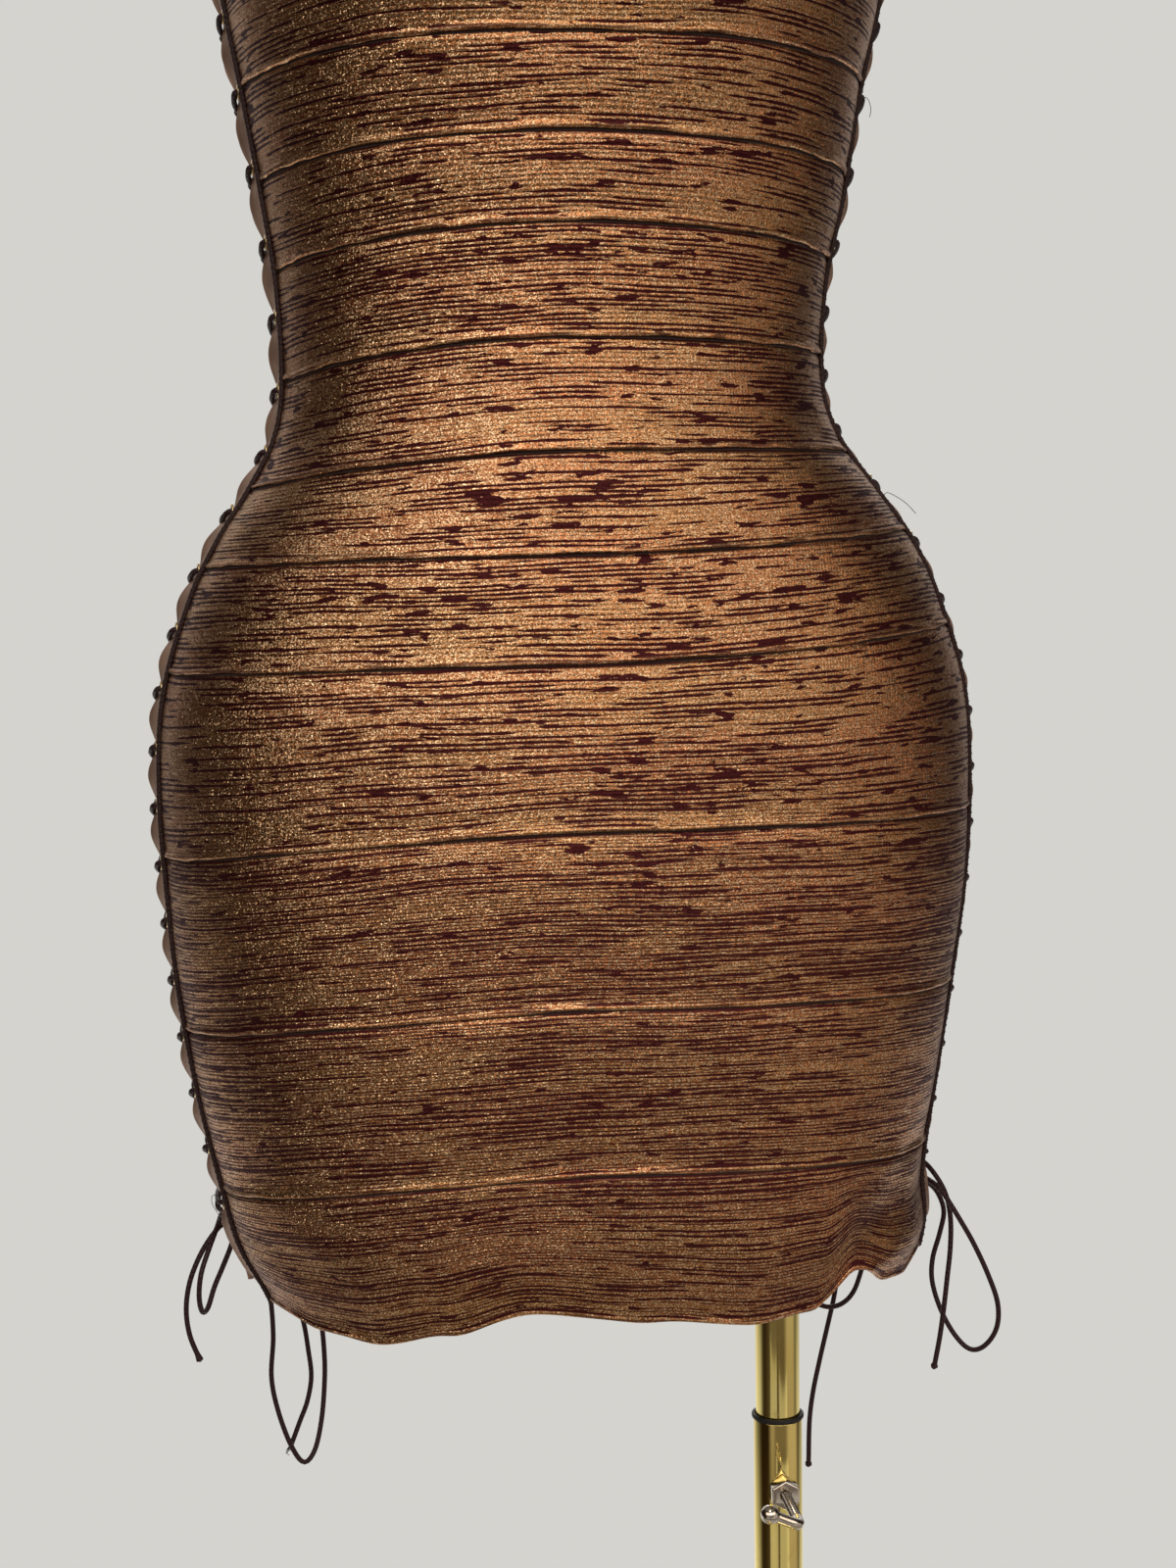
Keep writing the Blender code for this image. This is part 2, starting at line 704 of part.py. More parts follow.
def eyelet_placket(face, side_name, finish, collection):
    """The strip beside a panel, pierced by a hexagonal hole at each raised eyelet.

    The lacing pulls its laced edge in at the eyelets, and it bulges between them.
    """
    side = SIDES[side_name]
    toward = 1 if face == FRONT else -1
    eyelets = eyelet_heights(side)
    levels = [seam_height(face, 0, side) - PLACKET_TOP_DROP]
    levels.append(eyelets[0] + UPPER_PITCH / 2)
    levels += [(a + b) / 2 for a, b in zip(eyelets, eyelets[1:])]
    levels.append(eyelets[-1] - LOWER_PITCH / 2)
    levels.append(seam_height(face, len(FRONT_SEAMS), side) + PLACKET_HEM_RISE)

    points, faces = [], []

    def add(height, reach, out):
        points.append(side_skin(height, side, toward * reach, out))
        return len(points) - 1

    rows = []
    for level in levels:
        bulge = 0.0 if level in (levels[0], levels[-1]) else SCALLOP
        rows.append([[add(level, PLACKET_INNER, out + bulge), add(level, PLACKET_OUTER, out)]
                     for out in (0.0, -PLACKET)])
    for index, (upper, lower) in enumerate(zip(rows, rows[1:])):
        faces.append((upper[0][1], upper[1][1], lower[1][1], lower[0][1]))
        if index in (0, len(levels) - 2):
            faces.append((upper[0][0], upper[1][0], lower[1][0], lower[0][0]))
            for layer in (0, 1):
                faces.append((upper[layer][0], upper[layer][1],
                              lower[layer][1], lower[layer][0]))
            continue
        middle = eyelets[index - 1]
        dip = [add(middle, PLACKET_INNER, out) for out in (0.0, -PLACKET)]
        faces.append((upper[0][0], upper[1][0], dip[1], dip[0]))
        faces.append((dip[0], dip[1], lower[1][0], lower[0][0]))
        rings = []
        for out in (EYELET_RISE, -PLACKET):
            rings.append([add(middle + EYELET_HOLE * math.sin(math.radians(60 * k)),
                              EYELET_REACH + EYELET_HOLE * math.cos(math.radians(60 * k)),
                              out) for k in range(6)])
        for layer, ring in enumerate(rings):
            corners = (upper[layer][1], upper[layer][0], lower[layer][0], lower[layer][1])
            faces.append((corners[0], ring[0], ring[1]))
            faces.append((corners[0], ring[1], ring[2], corners[1]))
            faces.append((corners[1], ring[2], ring[3]))
            faces.append((corners[1], ring[3], dip[layer]))
            faces.append((dip[layer], ring[3], corners[2]))
            faces.append((corners[2], ring[3], ring[4]))
            faces.append((corners[2], ring[4], ring[5], corners[3]))
            faces.append((corners[3], ring[5], ring[0]))
            faces.append((corners[3], ring[0], corners[0]))
        for k in range(6):
            following = (k + 1) % 6
            faces.append((rings[0][k], rings[0][following],
                          rings[1][following], rings[1][k]))
    faces.append((rows[0][0][0], rows[0][0][1], rows[0][1][1], rows[0][1][0]))
    faces.append((rows[-1][0][0], rows[-1][0][1], rows[-1][1][1], rows[-1][1][0]))
    name = f"eyelet_placket_{face}_{side_name}"
    return mesh_object(name, closed_mesh(name, points, faces), finish, collection)


def lace_strand(side, start_face, heights, crosses_outside):
    """One run of the lacing from the top down, as points through the eyelets."""
    toward = 1 if start_face == FRONT else -1
    points = [side_skin(heights[0], side, toward * EYELET_REACH, CORD_INSIDE)]
    for above, below in zip(heights, heights[1:]):
        drop = below - above
        reach = toward * EYELET_REACH
        edge = toward * PLACKET_INNER
        edge_share = (EYELET_REACH - PLACKET_INNER) / (2 * EYELET_REACH)
        points.append(side_skin(above, side, reach, CORD_OUTSIDE))
        if crosses_outside:
            points.append(side_skin(above + drop / 2, side, 0.0, CROSS_OUTSIDE))
            points.append(side_skin(below - drop * edge_share, side, -edge, UNDER_EDGE))
        else:
            points.append(side_skin(above + drop * edge_share, side, edge, OVER_EDGE))
            points.append(side_skin(above + drop / 2, side, 0.0, CROSS_INSIDE))
        points.append(side_skin(below, side, -reach, CORD_INSIDE))
        toward = -toward
    points.append(side_skin(heights[-1], side, toward * EYELET_REACH, CORD_OUTSIDE))
    return points


def knot_middle(side_name):
    return side_skin(KNOT_HEIGHTS[side_name], SIDES[side_name], KNOT_REACH, KNOT_OUT)


def at_knot(side_name, shares, distance):
    """A point at a distance from a knot's middle, in a direction given by its shares."""
    side = SIDES[side_name]
    away = Vector((side * math.cos(KNOT_TURN), math.sin(KNOT_TURN), 0.0))
    back = Vector((-side * math.sin(KNOT_TURN), math.cos(KNOT_TURN), 0.0))
    direction = away * shares[0] + back * shares[1] + Vector((0.0, 0.0, shares[2]))
    return knot_middle(side_name) + direction.normalized() * distance


def side_lace(side_name, finish, collection):
    """The whole lace of one side: both strands and the bar that joins them on top."""
    side = SIDES[side_name]
    heights = eyelet_heights(side)
    strands = {FRONT: lace_strand(side, FRONT, heights, True),
               BACK: lace_strand(side, BACK, heights, False)}
    for end in LACE_ROUTES:
        level = KNOT_HEIGHTS[side_name] + end.rise
        strands[end.strand].append(side_skin(level, side, end.reach, end.out))
    for name, shares in LACE_ENDS.items():
        strands[name].append(at_knot(side_name, shares, KNOT_RADIUS + LACE_START))
    points = list(reversed(strands[FRONT])) + strands[BACK]
    return tube(f"lace_{side_name}", points, CORD_RADIUS, finish, collection, 0)


def bow_knot(side_name, finish, collection):
    """The tied knot of a bow, a firm rounded lump."""
    shape = bmesh.new()
    bmesh.ops.create_uvsphere(shape, u_segments=12, v_segments=8, radius=KNOT_RADIUS)
    mesh = bpy.data.meshes.new(f"bow_knot_{side_name}")
    shape.to_mesh(mesh)
    shape.free()
    knot = mesh_object(mesh.name, mesh, finish, collection)
    knot.location = knot_middle(side_name)
    return knot


def bow_cord(cord, finish, collection):
    """A loop or tail of a bow, from its knot and, for a loop, back to it."""
    route = [at_knot(cord.side, cord.leaves, KNOT_RADIUS + BOW_START),
             at_knot(cord.side, cord.leaves, KNOT_RADIUS + BOW_RUN)]
    route += cord.route
    if cord.returns:
        route += [at_knot(cord.side, cord.returns, KNOT_RADIUS + BOW_RUN),
                  at_knot(cord.side, cord.returns, KNOT_RADIUS + BOW_START)]
    return tube(cord.name, smooth_route(route, CORD_STEP), CORD_RADIUS, finish, collection)


def form_ring(height, inset):
    """One closed ring of the dress form, from the right front edge round."""
    ring = []
    for face, columns in ((FRONT, FRONT_COLUMNS), (BACK, BACK_COLUMNS)):
        half = []
        for column in range(columns + 1):
            at_edge = column in (0, columns)
            depth = max(inset, FORM_EDGE_INSET) if at_edge else inset
            run = panel_run(height, face, column / columns)
            half.append(skin(height, face, run, -depth))
        side = 1 if face == FRONT else -1
        half = half if face == FRONT else list(reversed(half))
        ring.extend(half)
        ring.append(side_skin(height, -side, 0.0, -max(inset, FORM_SIDE_INSET)))
    return ring


def dress_form(finish, collection):
    """The smooth limbless torso, closed below and at the neck."""
    rings = [form_ring(row.height, row.inset) for row in FORM_ROWS]
    wide = len(rings[0])
    points = [point for ring in rings for point in ring]
    faces = []
    for row in range(len(rings) - 1):
        for column in range(wide):
            a = row * wide + column
            b = row * wide + (column + 1) % wide
            faces.append((a, b, b + wide, a + wide))
    faces.append(tuple(range(wide)))
    faces.append(tuple(range((len(rings) - 1) * wide, len(rings) * wide)))
    mesh = closed_mesh("dress_form", points, faces)
    return mesh_object("dress_form", mesh, finish, collection)


def mast(finish, collection):
    """The upper tube: it slides in the lower one and ends inside the form."""
    top = FORM_ROWS[0].height + SOCKET_DEPTH - GAP
    bore = MAST_RADIUS - MAST_WALL
    edge = 0.001
    profile = ((0.0, top), (MAST_RADIUS - edge, top), (MAST_RADIUS, top - edge),
               (MAST_RADIUS, MAST_BOTTOM), (bore, MAST_BOTTOM),
               (bore, top - MAST_CAP), (0.0, top - MAST_CAP))
    return turned("mast_tube", profile, finish, collection)


def lower_tube(finish, collection):
    profile = ((TUBE_BORE, TUBE_TOP), (TUBE_RADIUS, TUBE_TOP),
               (TUBE_RADIUS, BASE_THICKNESS + GAP), (TUBE_BORE, BASE_THICKNESS + GAP))
    return turned("lower_tube", profile, finish, collection, closed=True)


def top_ring(finish, collection):
    """The rubber ring that rests on the lower tube's end."""
    low = TUBE_TOP + GAP
    high = low + RING_HEIGHT
    crown = 0.0006
    profile = ((TUBE_BORE, high - crown), (RING_RADIUS - crown, high),
               (RING_RADIUS, low + crown), (RING_RADIUS - crown, low), (TUBE_BORE, low))
    return turned("top_ring", profile, finish, collection, closed=True)


def base_plate(finish, collection):
    """The round base, flat below."""
    edge = 0.0015
    profile = ((0.0, BASE_THICKNESS), (BASE_RADIUS - edge, BASE_THICKNESS),
               (BASE_RADIUS, BASE_THICKNESS - edge), (BASE_RADIUS, edge / 2),
               (BASE_RADIUS - edge / 2, 0.0), (0.0, 0.0))
    return turned("base_plate", profile, finish, collection, steps=48)


def foot_flange(finish, collection):
    """The collar that holds the lower tube on the base."""
    low = BASE_THICKNESS + GAP
    inner = TUBE_RADIUS + GAP
    neck = inner + FLANGE_NECK
    edge = 0.001
    profile = ((inner, low + FLANGE_HEIGHT), (neck - edge, low + FLANGE_HEIGHT),
               (neck, low + FLANGE_EDGE + 2 * edge), (FLANGE_RADIUS, low + FLANGE_EDGE),
               (FLANGE_RADIUS, low), (inner, low))
    return turned("foot_flange", profile, finish, collection, closed=True)


def clamp_nut(finish, collection, cutters):
    """The six-sided boss on the tube's front that the clamp screw runs through."""
    shape = bmesh.new()
    bmesh.ops.create_cone(shape, cap_ends=True, segments=6, radius1=NUT_RADIUS,
                          radius2=NUT_RADIUS, depth=NUT_DEPTH)
    mesh = bpy.data.meshes.new("clamp_nut")
    shape.to_mesh(mesh)
    shape.free()
    nut = mesh_object("clamp_nut", mesh, finish, collection)
    nut.rotation_euler = (math.radians(90), 0.0, 0.0)
    back = TUBE_RADIUS + GAP
    nut.location = (MAST_X, -(back + NUT_DEPTH / 2), CLAMP_HEIGHT)
    bore = cutter_rod("nut_bore", SCREW_RADIUS + GAP, (MAST_X, 0.0, CLAMP_HEIGHT),
                      (MAST_X, -BORE_REACH, CLAMP_HEIGHT), 16, cutters)
    cut(nut, bore, "screw bore")
    return nut


def welded_tube(name, points, radius, finish, collection):
    """A tube turned into a closed mesh, ready for a Boolean."""
    curve = tube(name, points, radius, finish, collection)
    bpy.context.view_layer.update()
    solid = curve.evaluated_get(bpy.context.evaluated_depsgraph_get())
    mesh = bpy.data.meshes.new_from_object(solid)
    bpy.data.objects.remove(curve, do_unlink=True)
    shape = bmesh.new()
    shape.from_mesh(mesh)
    bmesh.ops.remove_doubles(shape, verts=shape.verts, dist=0.00001)
    bmesh.ops.recalc_face_normals(shape, faces=shape.faces)
    shape.to_mesh(mesh)
    shape.free()
    mesh.materials.clear()
    return mesh_object(name, mesh, finish, collection)


def clamp_screw(finish, collection, cutters):
    """The screw with its bent lever, one round bar with a ball on its end."""
    tip = Vector((0.0, -(MAST_RADIUS + 2 * GAP), 0.0))
    elbow = Vector((0.0, -SCREW_ELBOW, 0.0))
    ball_place = Vector((LEVER_END[0], -SCREW_ELBOW, LEVER_END[1]))
    along_lever = (ball_place - elbow).normalized()
    start = elbow + Vector((0.0, SCREW_BEND, 0.0))
    end = elbow + along_lever * SCREW_BEND
    points = [tip]
    for k in range(5):
        t = k / 4
        points.append(start.lerp(elbow, t).lerp(elbow.lerp(end, t), t))
    points.append(ball_place)
    screw = welded_tube("clamp_screw", points, SCREW_RADIUS, finish, collection)
    shape = bmesh.new()
    bmesh.ops.create_uvsphere(shape, u_segments=10, v_segments=6, radius=BALL_RADIUS)
    mesh = bpy.data.meshes.new("lever_ball")
    shape.to_mesh(mesh)
    shape.free()
    ball = bpy.data.objects.new("lever_ball", mesh)
    ball.location = ball_place
    ball.hide_render = True
    ball.display_type = "WIRE"
    cutters.objects.link(ball)
    union = screw.modifiers.new("ball", "BOOLEAN")
    union.operation = "UNION"
    union.solver = "EXACT"
    union.object = ball
    return screw, ball


# ----------------------------------------------------------------- the assembly
def build():
    clear_scene()
    parts = make_collection(NAME)
    cutters = make_collection("cutters")

    foil = material("copper foil knit", (0.42, 0.22, 0.10), 0.38, 0.75)
    placket_foil = material("plain foil placket", (0.30, 0.22, 0.17), 0.45, 0.6)
    piping = material("dark corded piping", (0.06, 0.025, 0.025), 0.6)
    cord = material("dark lacing cord", (0.05, 0.022, 0.028), 0.45)
    shell = material("matt off-white form", (0.80, 0.78, 0.74), 0.6)
    brass = material("polished brass", (0.80, 0.58, 0.26), 0.18, 1.0)
    chrome = material("warm chrome", (0.78, 0.70, 0.60), 0.12, 1.0)
    rubber = material("black rubber", (0.02, 0.02, 0.02), 0.7)

    mast_place = (MAST_X, 0.0, 0.0)
    clamp_place = (MAST_X, 0.0, CLAMP_HEIGHT)
    slide = joint_empty("mast_height_axis", mast_place, parts)
    turn = joint_empty("figure_turn_axis", mast_place, parts, slide)
    clamp = joint_empty("clamp_screw_axis", clamp_place, parts)

    figure = []
    for face in (FRONT, BACK):
        for index in range(len(FRONT_SEAMS)):
            figure.append(knit_band(face, index, foil, parts))
        for side_name in SIDES:
            figure.append(edge_piping(face, side_name, piping, parts))
            figure.append(eyelet_placket(face, side_name, placket_foil, parts))
    for side_name in SIDES:
        figure.append(side_lace(side_name, cord, parts))
        knot = bow_knot(side_name, cord, parts)
        knot.parent = turn
        knot.location = Vector(knot.location) - Vector(mast_place)
    for bow in BOWS:
        figure.append(bow_cord(bow, cord, parts))
    form = dress_form(shell, parts)
    bottom = FORM_ROWS[0].height
    socket = cutter_rod("mast_socket", SOCKET_RADIUS, (MAST_X, 0.0, bottom - 0.02),
                        (MAST_X, 0.0, bottom + SOCKET_DEPTH), 24, cutters)
    socket.parent = turn
    socket.location = Vector(socket.location) - Vector(mast_place)
    cut(form, socket, "mast socket")
    figure.append(form)
    for piece in figure:
        place_under(piece, turn, mast_place)

    upper = mast(brass, parts)
    upper.parent = slide
    tube_piece = lower_tube(brass, parts)
    ring = top_ring(rubber, parts)
    flange = foot_flange(brass, parts)
    for piece in (tube_piece, ring, flange):
        piece.location = mast_place
    base_plate(brass, parts)
    wall_hole = cutter_rod("tube_wall_hole", SCREW_RADIUS + GAP,
                           (MAST_X, 0.0, CLAMP_HEIGHT),
                           (MAST_X, -BORE_REACH, CLAMP_HEIGHT),
                           16, cutters)
    cut(tube_piece, wall_hole, "clamp hole")
    clamp_nut(chrome, parts, cutters)
    screw, ball = clamp_screw(chrome, parts, cutters)
    screw.parent = clamp
    ball.parent = clamp


build()
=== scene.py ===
import json
import math
import random
from collections import namedtuple

import bmesh
import bpy
import numpy as np
from mathutils import Euler, Matrix, Vector

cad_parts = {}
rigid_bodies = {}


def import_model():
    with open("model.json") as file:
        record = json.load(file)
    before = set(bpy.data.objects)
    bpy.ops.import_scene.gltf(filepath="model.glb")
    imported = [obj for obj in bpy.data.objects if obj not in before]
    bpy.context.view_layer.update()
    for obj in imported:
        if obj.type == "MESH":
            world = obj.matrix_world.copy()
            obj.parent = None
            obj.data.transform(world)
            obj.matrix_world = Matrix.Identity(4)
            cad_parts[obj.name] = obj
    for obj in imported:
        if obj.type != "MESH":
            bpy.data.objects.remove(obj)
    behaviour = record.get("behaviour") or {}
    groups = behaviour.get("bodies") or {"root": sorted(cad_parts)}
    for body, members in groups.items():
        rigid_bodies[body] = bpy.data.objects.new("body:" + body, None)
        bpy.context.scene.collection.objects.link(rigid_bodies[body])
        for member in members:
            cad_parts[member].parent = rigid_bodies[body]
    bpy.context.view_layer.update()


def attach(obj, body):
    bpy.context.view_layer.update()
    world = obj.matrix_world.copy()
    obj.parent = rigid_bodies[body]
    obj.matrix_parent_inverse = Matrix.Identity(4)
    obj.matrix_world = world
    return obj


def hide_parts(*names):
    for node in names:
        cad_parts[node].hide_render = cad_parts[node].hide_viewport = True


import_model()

# metres, +Z up, the dress's front faces -Y; left and right are the viewer's
sides = {"left": -1, "right": 1}
faces = ("front", "back")


# the camera
view = {
    "place": (-0.09926, -1.03530, 0.9725),
    "azimuth": math.radians(-6.0),
    "pitch": math.radians(5.0),
    "roll": math.radians(0.8),
    "lens": 54.0,
    "film": 36.0,
}


def makeCamera():
    turn, dip, roll = view["azimuth"], view["pitch"], view["roll"]
    ahead = Vector((-math.sin(turn), math.cos(turn), 0.0))
    across = Vector((math.cos(turn), math.sin(turn), 0.0))
    upright = ahead * math.sin(dip) + Vector((0.0, 0.0, math.cos(dip)))
    looks = ahead * math.cos(dip) - Vector((0.0, 0.0, math.sin(dip)))
    camX = across * math.cos(roll) - upright * math.sin(roll)
    camY = across * math.sin(roll) + upright * math.cos(roll)
    lens = bpy.data.cameras.new("camera")
    lens.lens = view["lens"]
    lens.sensor_width = view["film"]
    lens.clip_start = 0.05
    camera = bpy.data.objects.new("camera", lens)
    camera.matrix_world = Matrix((
        (camX.x, camY.x, -looks.x, view["place"][0]),
        (camX.y, camY.y, -looks.y, view["place"][1]),
        (camX.z, camY.z, -looks.z, view["place"][2]),
        (0.0, 0.0, 0.0, 1.0)))
    bpy.context.scene.collection.objects.link(camera)
    bpy.context.scene.camera = camera


makeCamera()
print("camera set")


# the figure that the dress is stretched over: height, half width, depth in front, depth
# behind, sway to the right, rise of the bust
sections = (
    (0.625, 0.1315, 0.078, 0.081, 0.0065, 0.000),
    (0.663, 0.1460, 0.089, 0.092, 0.0070, 0.000),
    (0.685, 0.1540, 0.097, 0.099, 0.0040, 0.000),
    (0.708, 0.1565, 0.101, 0.103, 0.0005, 0.000),
    (0.752, 0.1645, 0.106, 0.110, -0.001, 0.000),
    (0.796, 0.1714, 0.110, 0.116, -0.001, 0.000),
    (0.839, 0.1762, 0.112, 0.120, 0.000, 0.000),
    (0.883, 0.1784, 0.111, 0.122, 0.000, 0.000),
    (0.926, 0.1756, 0.108, 0.117, 0.000, 0.000),
    (0.968, 0.1625, 0.103, 0.106, 0.000, 0.000),
    (0.990, 0.1515, 0.099, 0.097, 0.000, 0.000),
    (1.011, 0.1370, 0.096, 0.087, -0.001, 0.000),
    (1.032, 0.1236, 0.093, 0.079, -0.003, 0.000),
    (1.053, 0.1180, 0.091, 0.075, -0.0045, 0.000),
    (1.095, 0.1190, 0.092, 0.075, -0.0045, 0.000),
    (1.136, 0.1260, 0.097, 0.079, -0.003, 0.001),
    (1.177, 0.1326, 0.105, 0.084, -0.003, 0.004),
    (1.218, 0.1406, 0.113, 0.089, -0.002, 0.011),
    (1.255, 0.1465, 0.115, 0.093, -0.001, 0.015),
    (1.290, 0.1485, 0.110, 0.096, 0.000, 0.011),
    (1.325, 0.1500, 0.101, 0.097, 0.000, 0.004),
    (1.360, 0.1600, 0.088, 0.095, 0.000, 0.000),
    (1.395, 0.1720, 0.073, 0.090, 0.000, 0.000),
    (1.418, 0.1640, 0.062, 0.084, 0.000, 0.000),
    (1.438, 0.1320, 0.055, 0.077, 0.000, 0.000),
    (1.455, 0.0900, 0.051, 0.070, 0.000, 0.000),
    (1.472, 0.0620, 0.049, 0.063, 0.000, 0.000),
    (1.500, 0.0540, 0.050, 0.057, 0.000, 0.000),
    (1.535, 0.0545, 0.052, 0.056, 0.000, 0.000),
)
figure = {
    "power": 2.2,           # 2 is an ellipse, more is squarer
    "bustSpacing": 0.068,
    "bustSpread": 0.040,
    "ringSteps": 160,
}


def eased(t, start, end, leave, arrive, span=1.0):
    # a smooth way from start to end that leaves and arrives at the given slopes
    return ((2 * t ** 3 - 3 * t ** 2 + 1) * start + (t ** 3 - 2 * t ** 2 + t) * leave * span
            + (3 * t ** 2 - 2 * t ** 3) * end + (t ** 3 - t ** 2) * arrive * span)


def readRows(rows, heights):
    # every column of a table of rows at many heights, smoothly
    table = np.array(rows, float)
    levels = table[:, 0]
    wanted = np.clip(np.asarray(heights, float), levels[0], levels[-1])
    low = np.clip(np.searchsorted(levels, wanted, side="right") - 1, 0, len(levels) - 2)
    before = np.maximum(np.arange(len(levels)) - 1, 0)
    after = np.minimum(np.arange(len(levels)) + 1, len(levels) - 1)
    slopes = (table[after] - table[before]) / (levels[after] - levels[before])[:, None]
    span = (levels[low + 1] - levels[low])[:, None]
    t = (wanted[:, None] - levels[low][:, None]) / span
    return eased(t, table[low], table[low + 1], slopes[low], slopes[low + 1], span)


def halfRings(face, heights):
    # the skin's outline at each height, from the right side line to the left
    row = readRows(sections, heights)
    halfWidth, sway, bust = row[:, 1:2], row[:, 4:5], row[:, 5:6]
    depth = row[:, 2:3] if face == "front" else row[:, 3:4]
    angle = np.linspace(0.0, math.pi, figure["ringSteps"] + 1)[None, :]
    bend = 2 / figure["power"]
    cosine = np.cos(angle)
    x = halfWidth * np.sign(cosine) * np.abs(cosine) ** bend
    y = depth * np.abs(np.sin(angle)) ** bend
    if face == "front":
        mounds = sum(np.exp(-((x - side * figure["bustSpacing"]) / figure["bustSpread"]) ** 2)
                     for side in sides.values())
        y = y + bust * mounds * np.sin(angle)
    points = np.stack((x + sway, y if face == "back" else -y), axis=2)
    ahead = np.concatenate((points[:, 1:], points[:, -1:]), axis=1)
    behind = np.concatenate((points[:, :1], points[:, :-1]), axis=1)
    step = ahead - behind
    normals = np.stack((step[..., 1], -step[..., 0]), axis=2)
    normals /= np.linalg.norm(normals, axis=2, keepdims=True)
    centred = points - np.stack((sway, np.zeros_like(sway)), axis=2)
    normals *= np.where((normals * centred).sum(axis=2, keepdims=True) < 0, -1.0, 1.0)
    normals[:, 0] = (1.0, 0.0)
    normals[:, -1] = (-1.0, 0.0)
    gaps = np.linalg.norm(points[:, 1:] - points[:, :-1], axis=2)
    runs = np.concatenate((np.zeros((len(points), 1)), np.cumsum(gaps, axis=1)), axis=1)
    return points, normals, runs


def halfLengths(face, heights):
    return halfRings(face, heights)[2][:, -1]


def skinPoints(face, heights, runs, outs):
    # points of the skin, each a run from the right side line, moved outwards
    heights, runs, outs = (np.asarray(v, float).ravel() for v in
                           np.broadcast_arrays(heights, runs, outs))
    points, normals, lengths = halfRings(face, heights)
    runs = np.clip(runs, 0.0, lengths[:, -1])
    index = np.clip((lengths <= runs[:, None]).sum(axis=1) - 1, 0, lengths.shape[1] - 2)
    rows = np.arange(len(runs))
    start, end = lengths[rows, index], lengths[rows, index + 1]
    share = ((runs - start) / (end - start))[:, None]
    flat = points[rows, index] * (1 - share) + points[rows, index + 1] * share
    normal = normals[rows, index] * (1 - share) + normals[rows, index + 1] * share
    normal /= np.linalg.norm(normal, axis=1, keepdims=True)
    return np.column_stack((flat + normal * outs[:, None], heights))


def sidePoints(side, heights, reaches, outs=0.0):
    # points near a side line: a reach runs to the front, or to the back if negative
    heights, reaches, outs = (np.asarray(v, float).ravel() for v in
                              np.broadcast_arrays(heights, reaches, outs))
    made = np.zeros((len(heights), 3))
    for face, chosen in (("front", reaches >= 0), ("back", reaches < 0)):
        if chosen.any():
            runs = np.abs(reaches[chosen])
            if side < 0:
                runs = halfLengths(face, heights[chosen]) - runs
            made[chosen] = skinPoints(face, heights[chosen], runs, outs[chosen])
    return made


# how the dress is cut
cut = {
    "cloth": 0.0016,
    "panelReach": 0.02455,    # from the side line to the edge of the banded panel
    "pipingReach": 0.02315,
    "pipingRadius": 0.00125,
    "pipingOut": 0.0008,      # how far its middle stands off the skin
    "placketInner": 0.0077,
    "placketOuter": 0.02155,
    "placket": 0.0014,
    "edgeCrowding": 0.45,
    "gap": 0.0003,
    "rolled": 0.004,          # cloth in each rolled edge
}
# each seam's height: in the middle in front and behind, at its left and its right end
seams = (
    (1.3120, 1.2780, 1.2990, 1.3010),
    (1.2720, 1.2440, 1.2640, 1.2670),
    (1.2290, 1.2060, 1.2215, 1.2245),
    (1.1845, 1.1680, 1.1785, 1.1820),
    (1.1483, 1.1340, 1.1400, 1.1430),
    (1.1138, 1.1010, 1.1030, 1.1080),
    (1.0688, 1.0600, 1.0570, 1.0670),
    (1.0235, 1.0200, 1.0120, 1.0255),
    (0.9820, 0.9800, 0.9790, 0.9915),
    (0.9385, 0.9300, 0.9345, 0.9505),
    (0.8718, 0.8580, 0.8560, 0.8705),
    (0.7998, 0.7840, 0.7815, 0.7935),
    (0.7305, 0.7180, 0.7110, 0.7210),
)
# the hem's turning points: place across the panel from -1 to 1, and height
hems = {
    "front": (
        (-1.00, 0.6600), (-0.86, 0.6550), (-0.68, 0.6530), (-0.45, 0.6595), (-0.20, 0.6700),
        (0.12, 0.6640), (0.42, 0.6585), (0.59, 0.6610), (0.71, 0.6765), (0.87, 0.6665),
        (0.95, 0.6655), (1.00, 0.6725),
    ),
    "back": (
        (-1.00, 0.6600), (-0.70, 0.6620), (-0.35, 0.6700), (0.00, 0.6680), (0.40, 0.6720),
        (0.75, 0.6660), (1.00, 0.6715),
    ),
}
bandCount = len(seams)


def seamHeights(face, index, places):
    # heights of a seam at places from -1 to 1 across the panel; the last one is the hem
    places = np.asarray(places, float)
    if index == bandCount:
        marks, levels = np.array(hems[face]).T
        low = np.clip(np.searchsorted(marks, places, side="left") - 1, 0, len(marks) - 2)
        t = np.clip((places - marks[low]) / (marks[low + 1] - marks[low]), 0.0, 1.0)
        return levels[low] + (levels[low + 1] - levels[low]) * t * t * (3 - 2 * t)
    front, back, left, right = seams[index]
    middle = front if face == "front" else back
    end = np.where(places > 0, right, left)
    return middle + (end - middle) * np.abs(places) ** 1.5


def panelRuns(face, heights, across):
    # runs of places across the banded panel: 0 is its right edge, 1 its left
    crowded = across - cut["edgeCrowding"] * np.sin(math.tau * across) / math.tau
    return cut["panelReach"] + (halfLengths(face, heights) - 2 * cut["panelReach"]) * crowded


# nodes: one way to add any node, and sums on sockets
def summed(operation, flipped=False):
    return lambda wire, other=0.0: wire.join(operation, other, flipped)


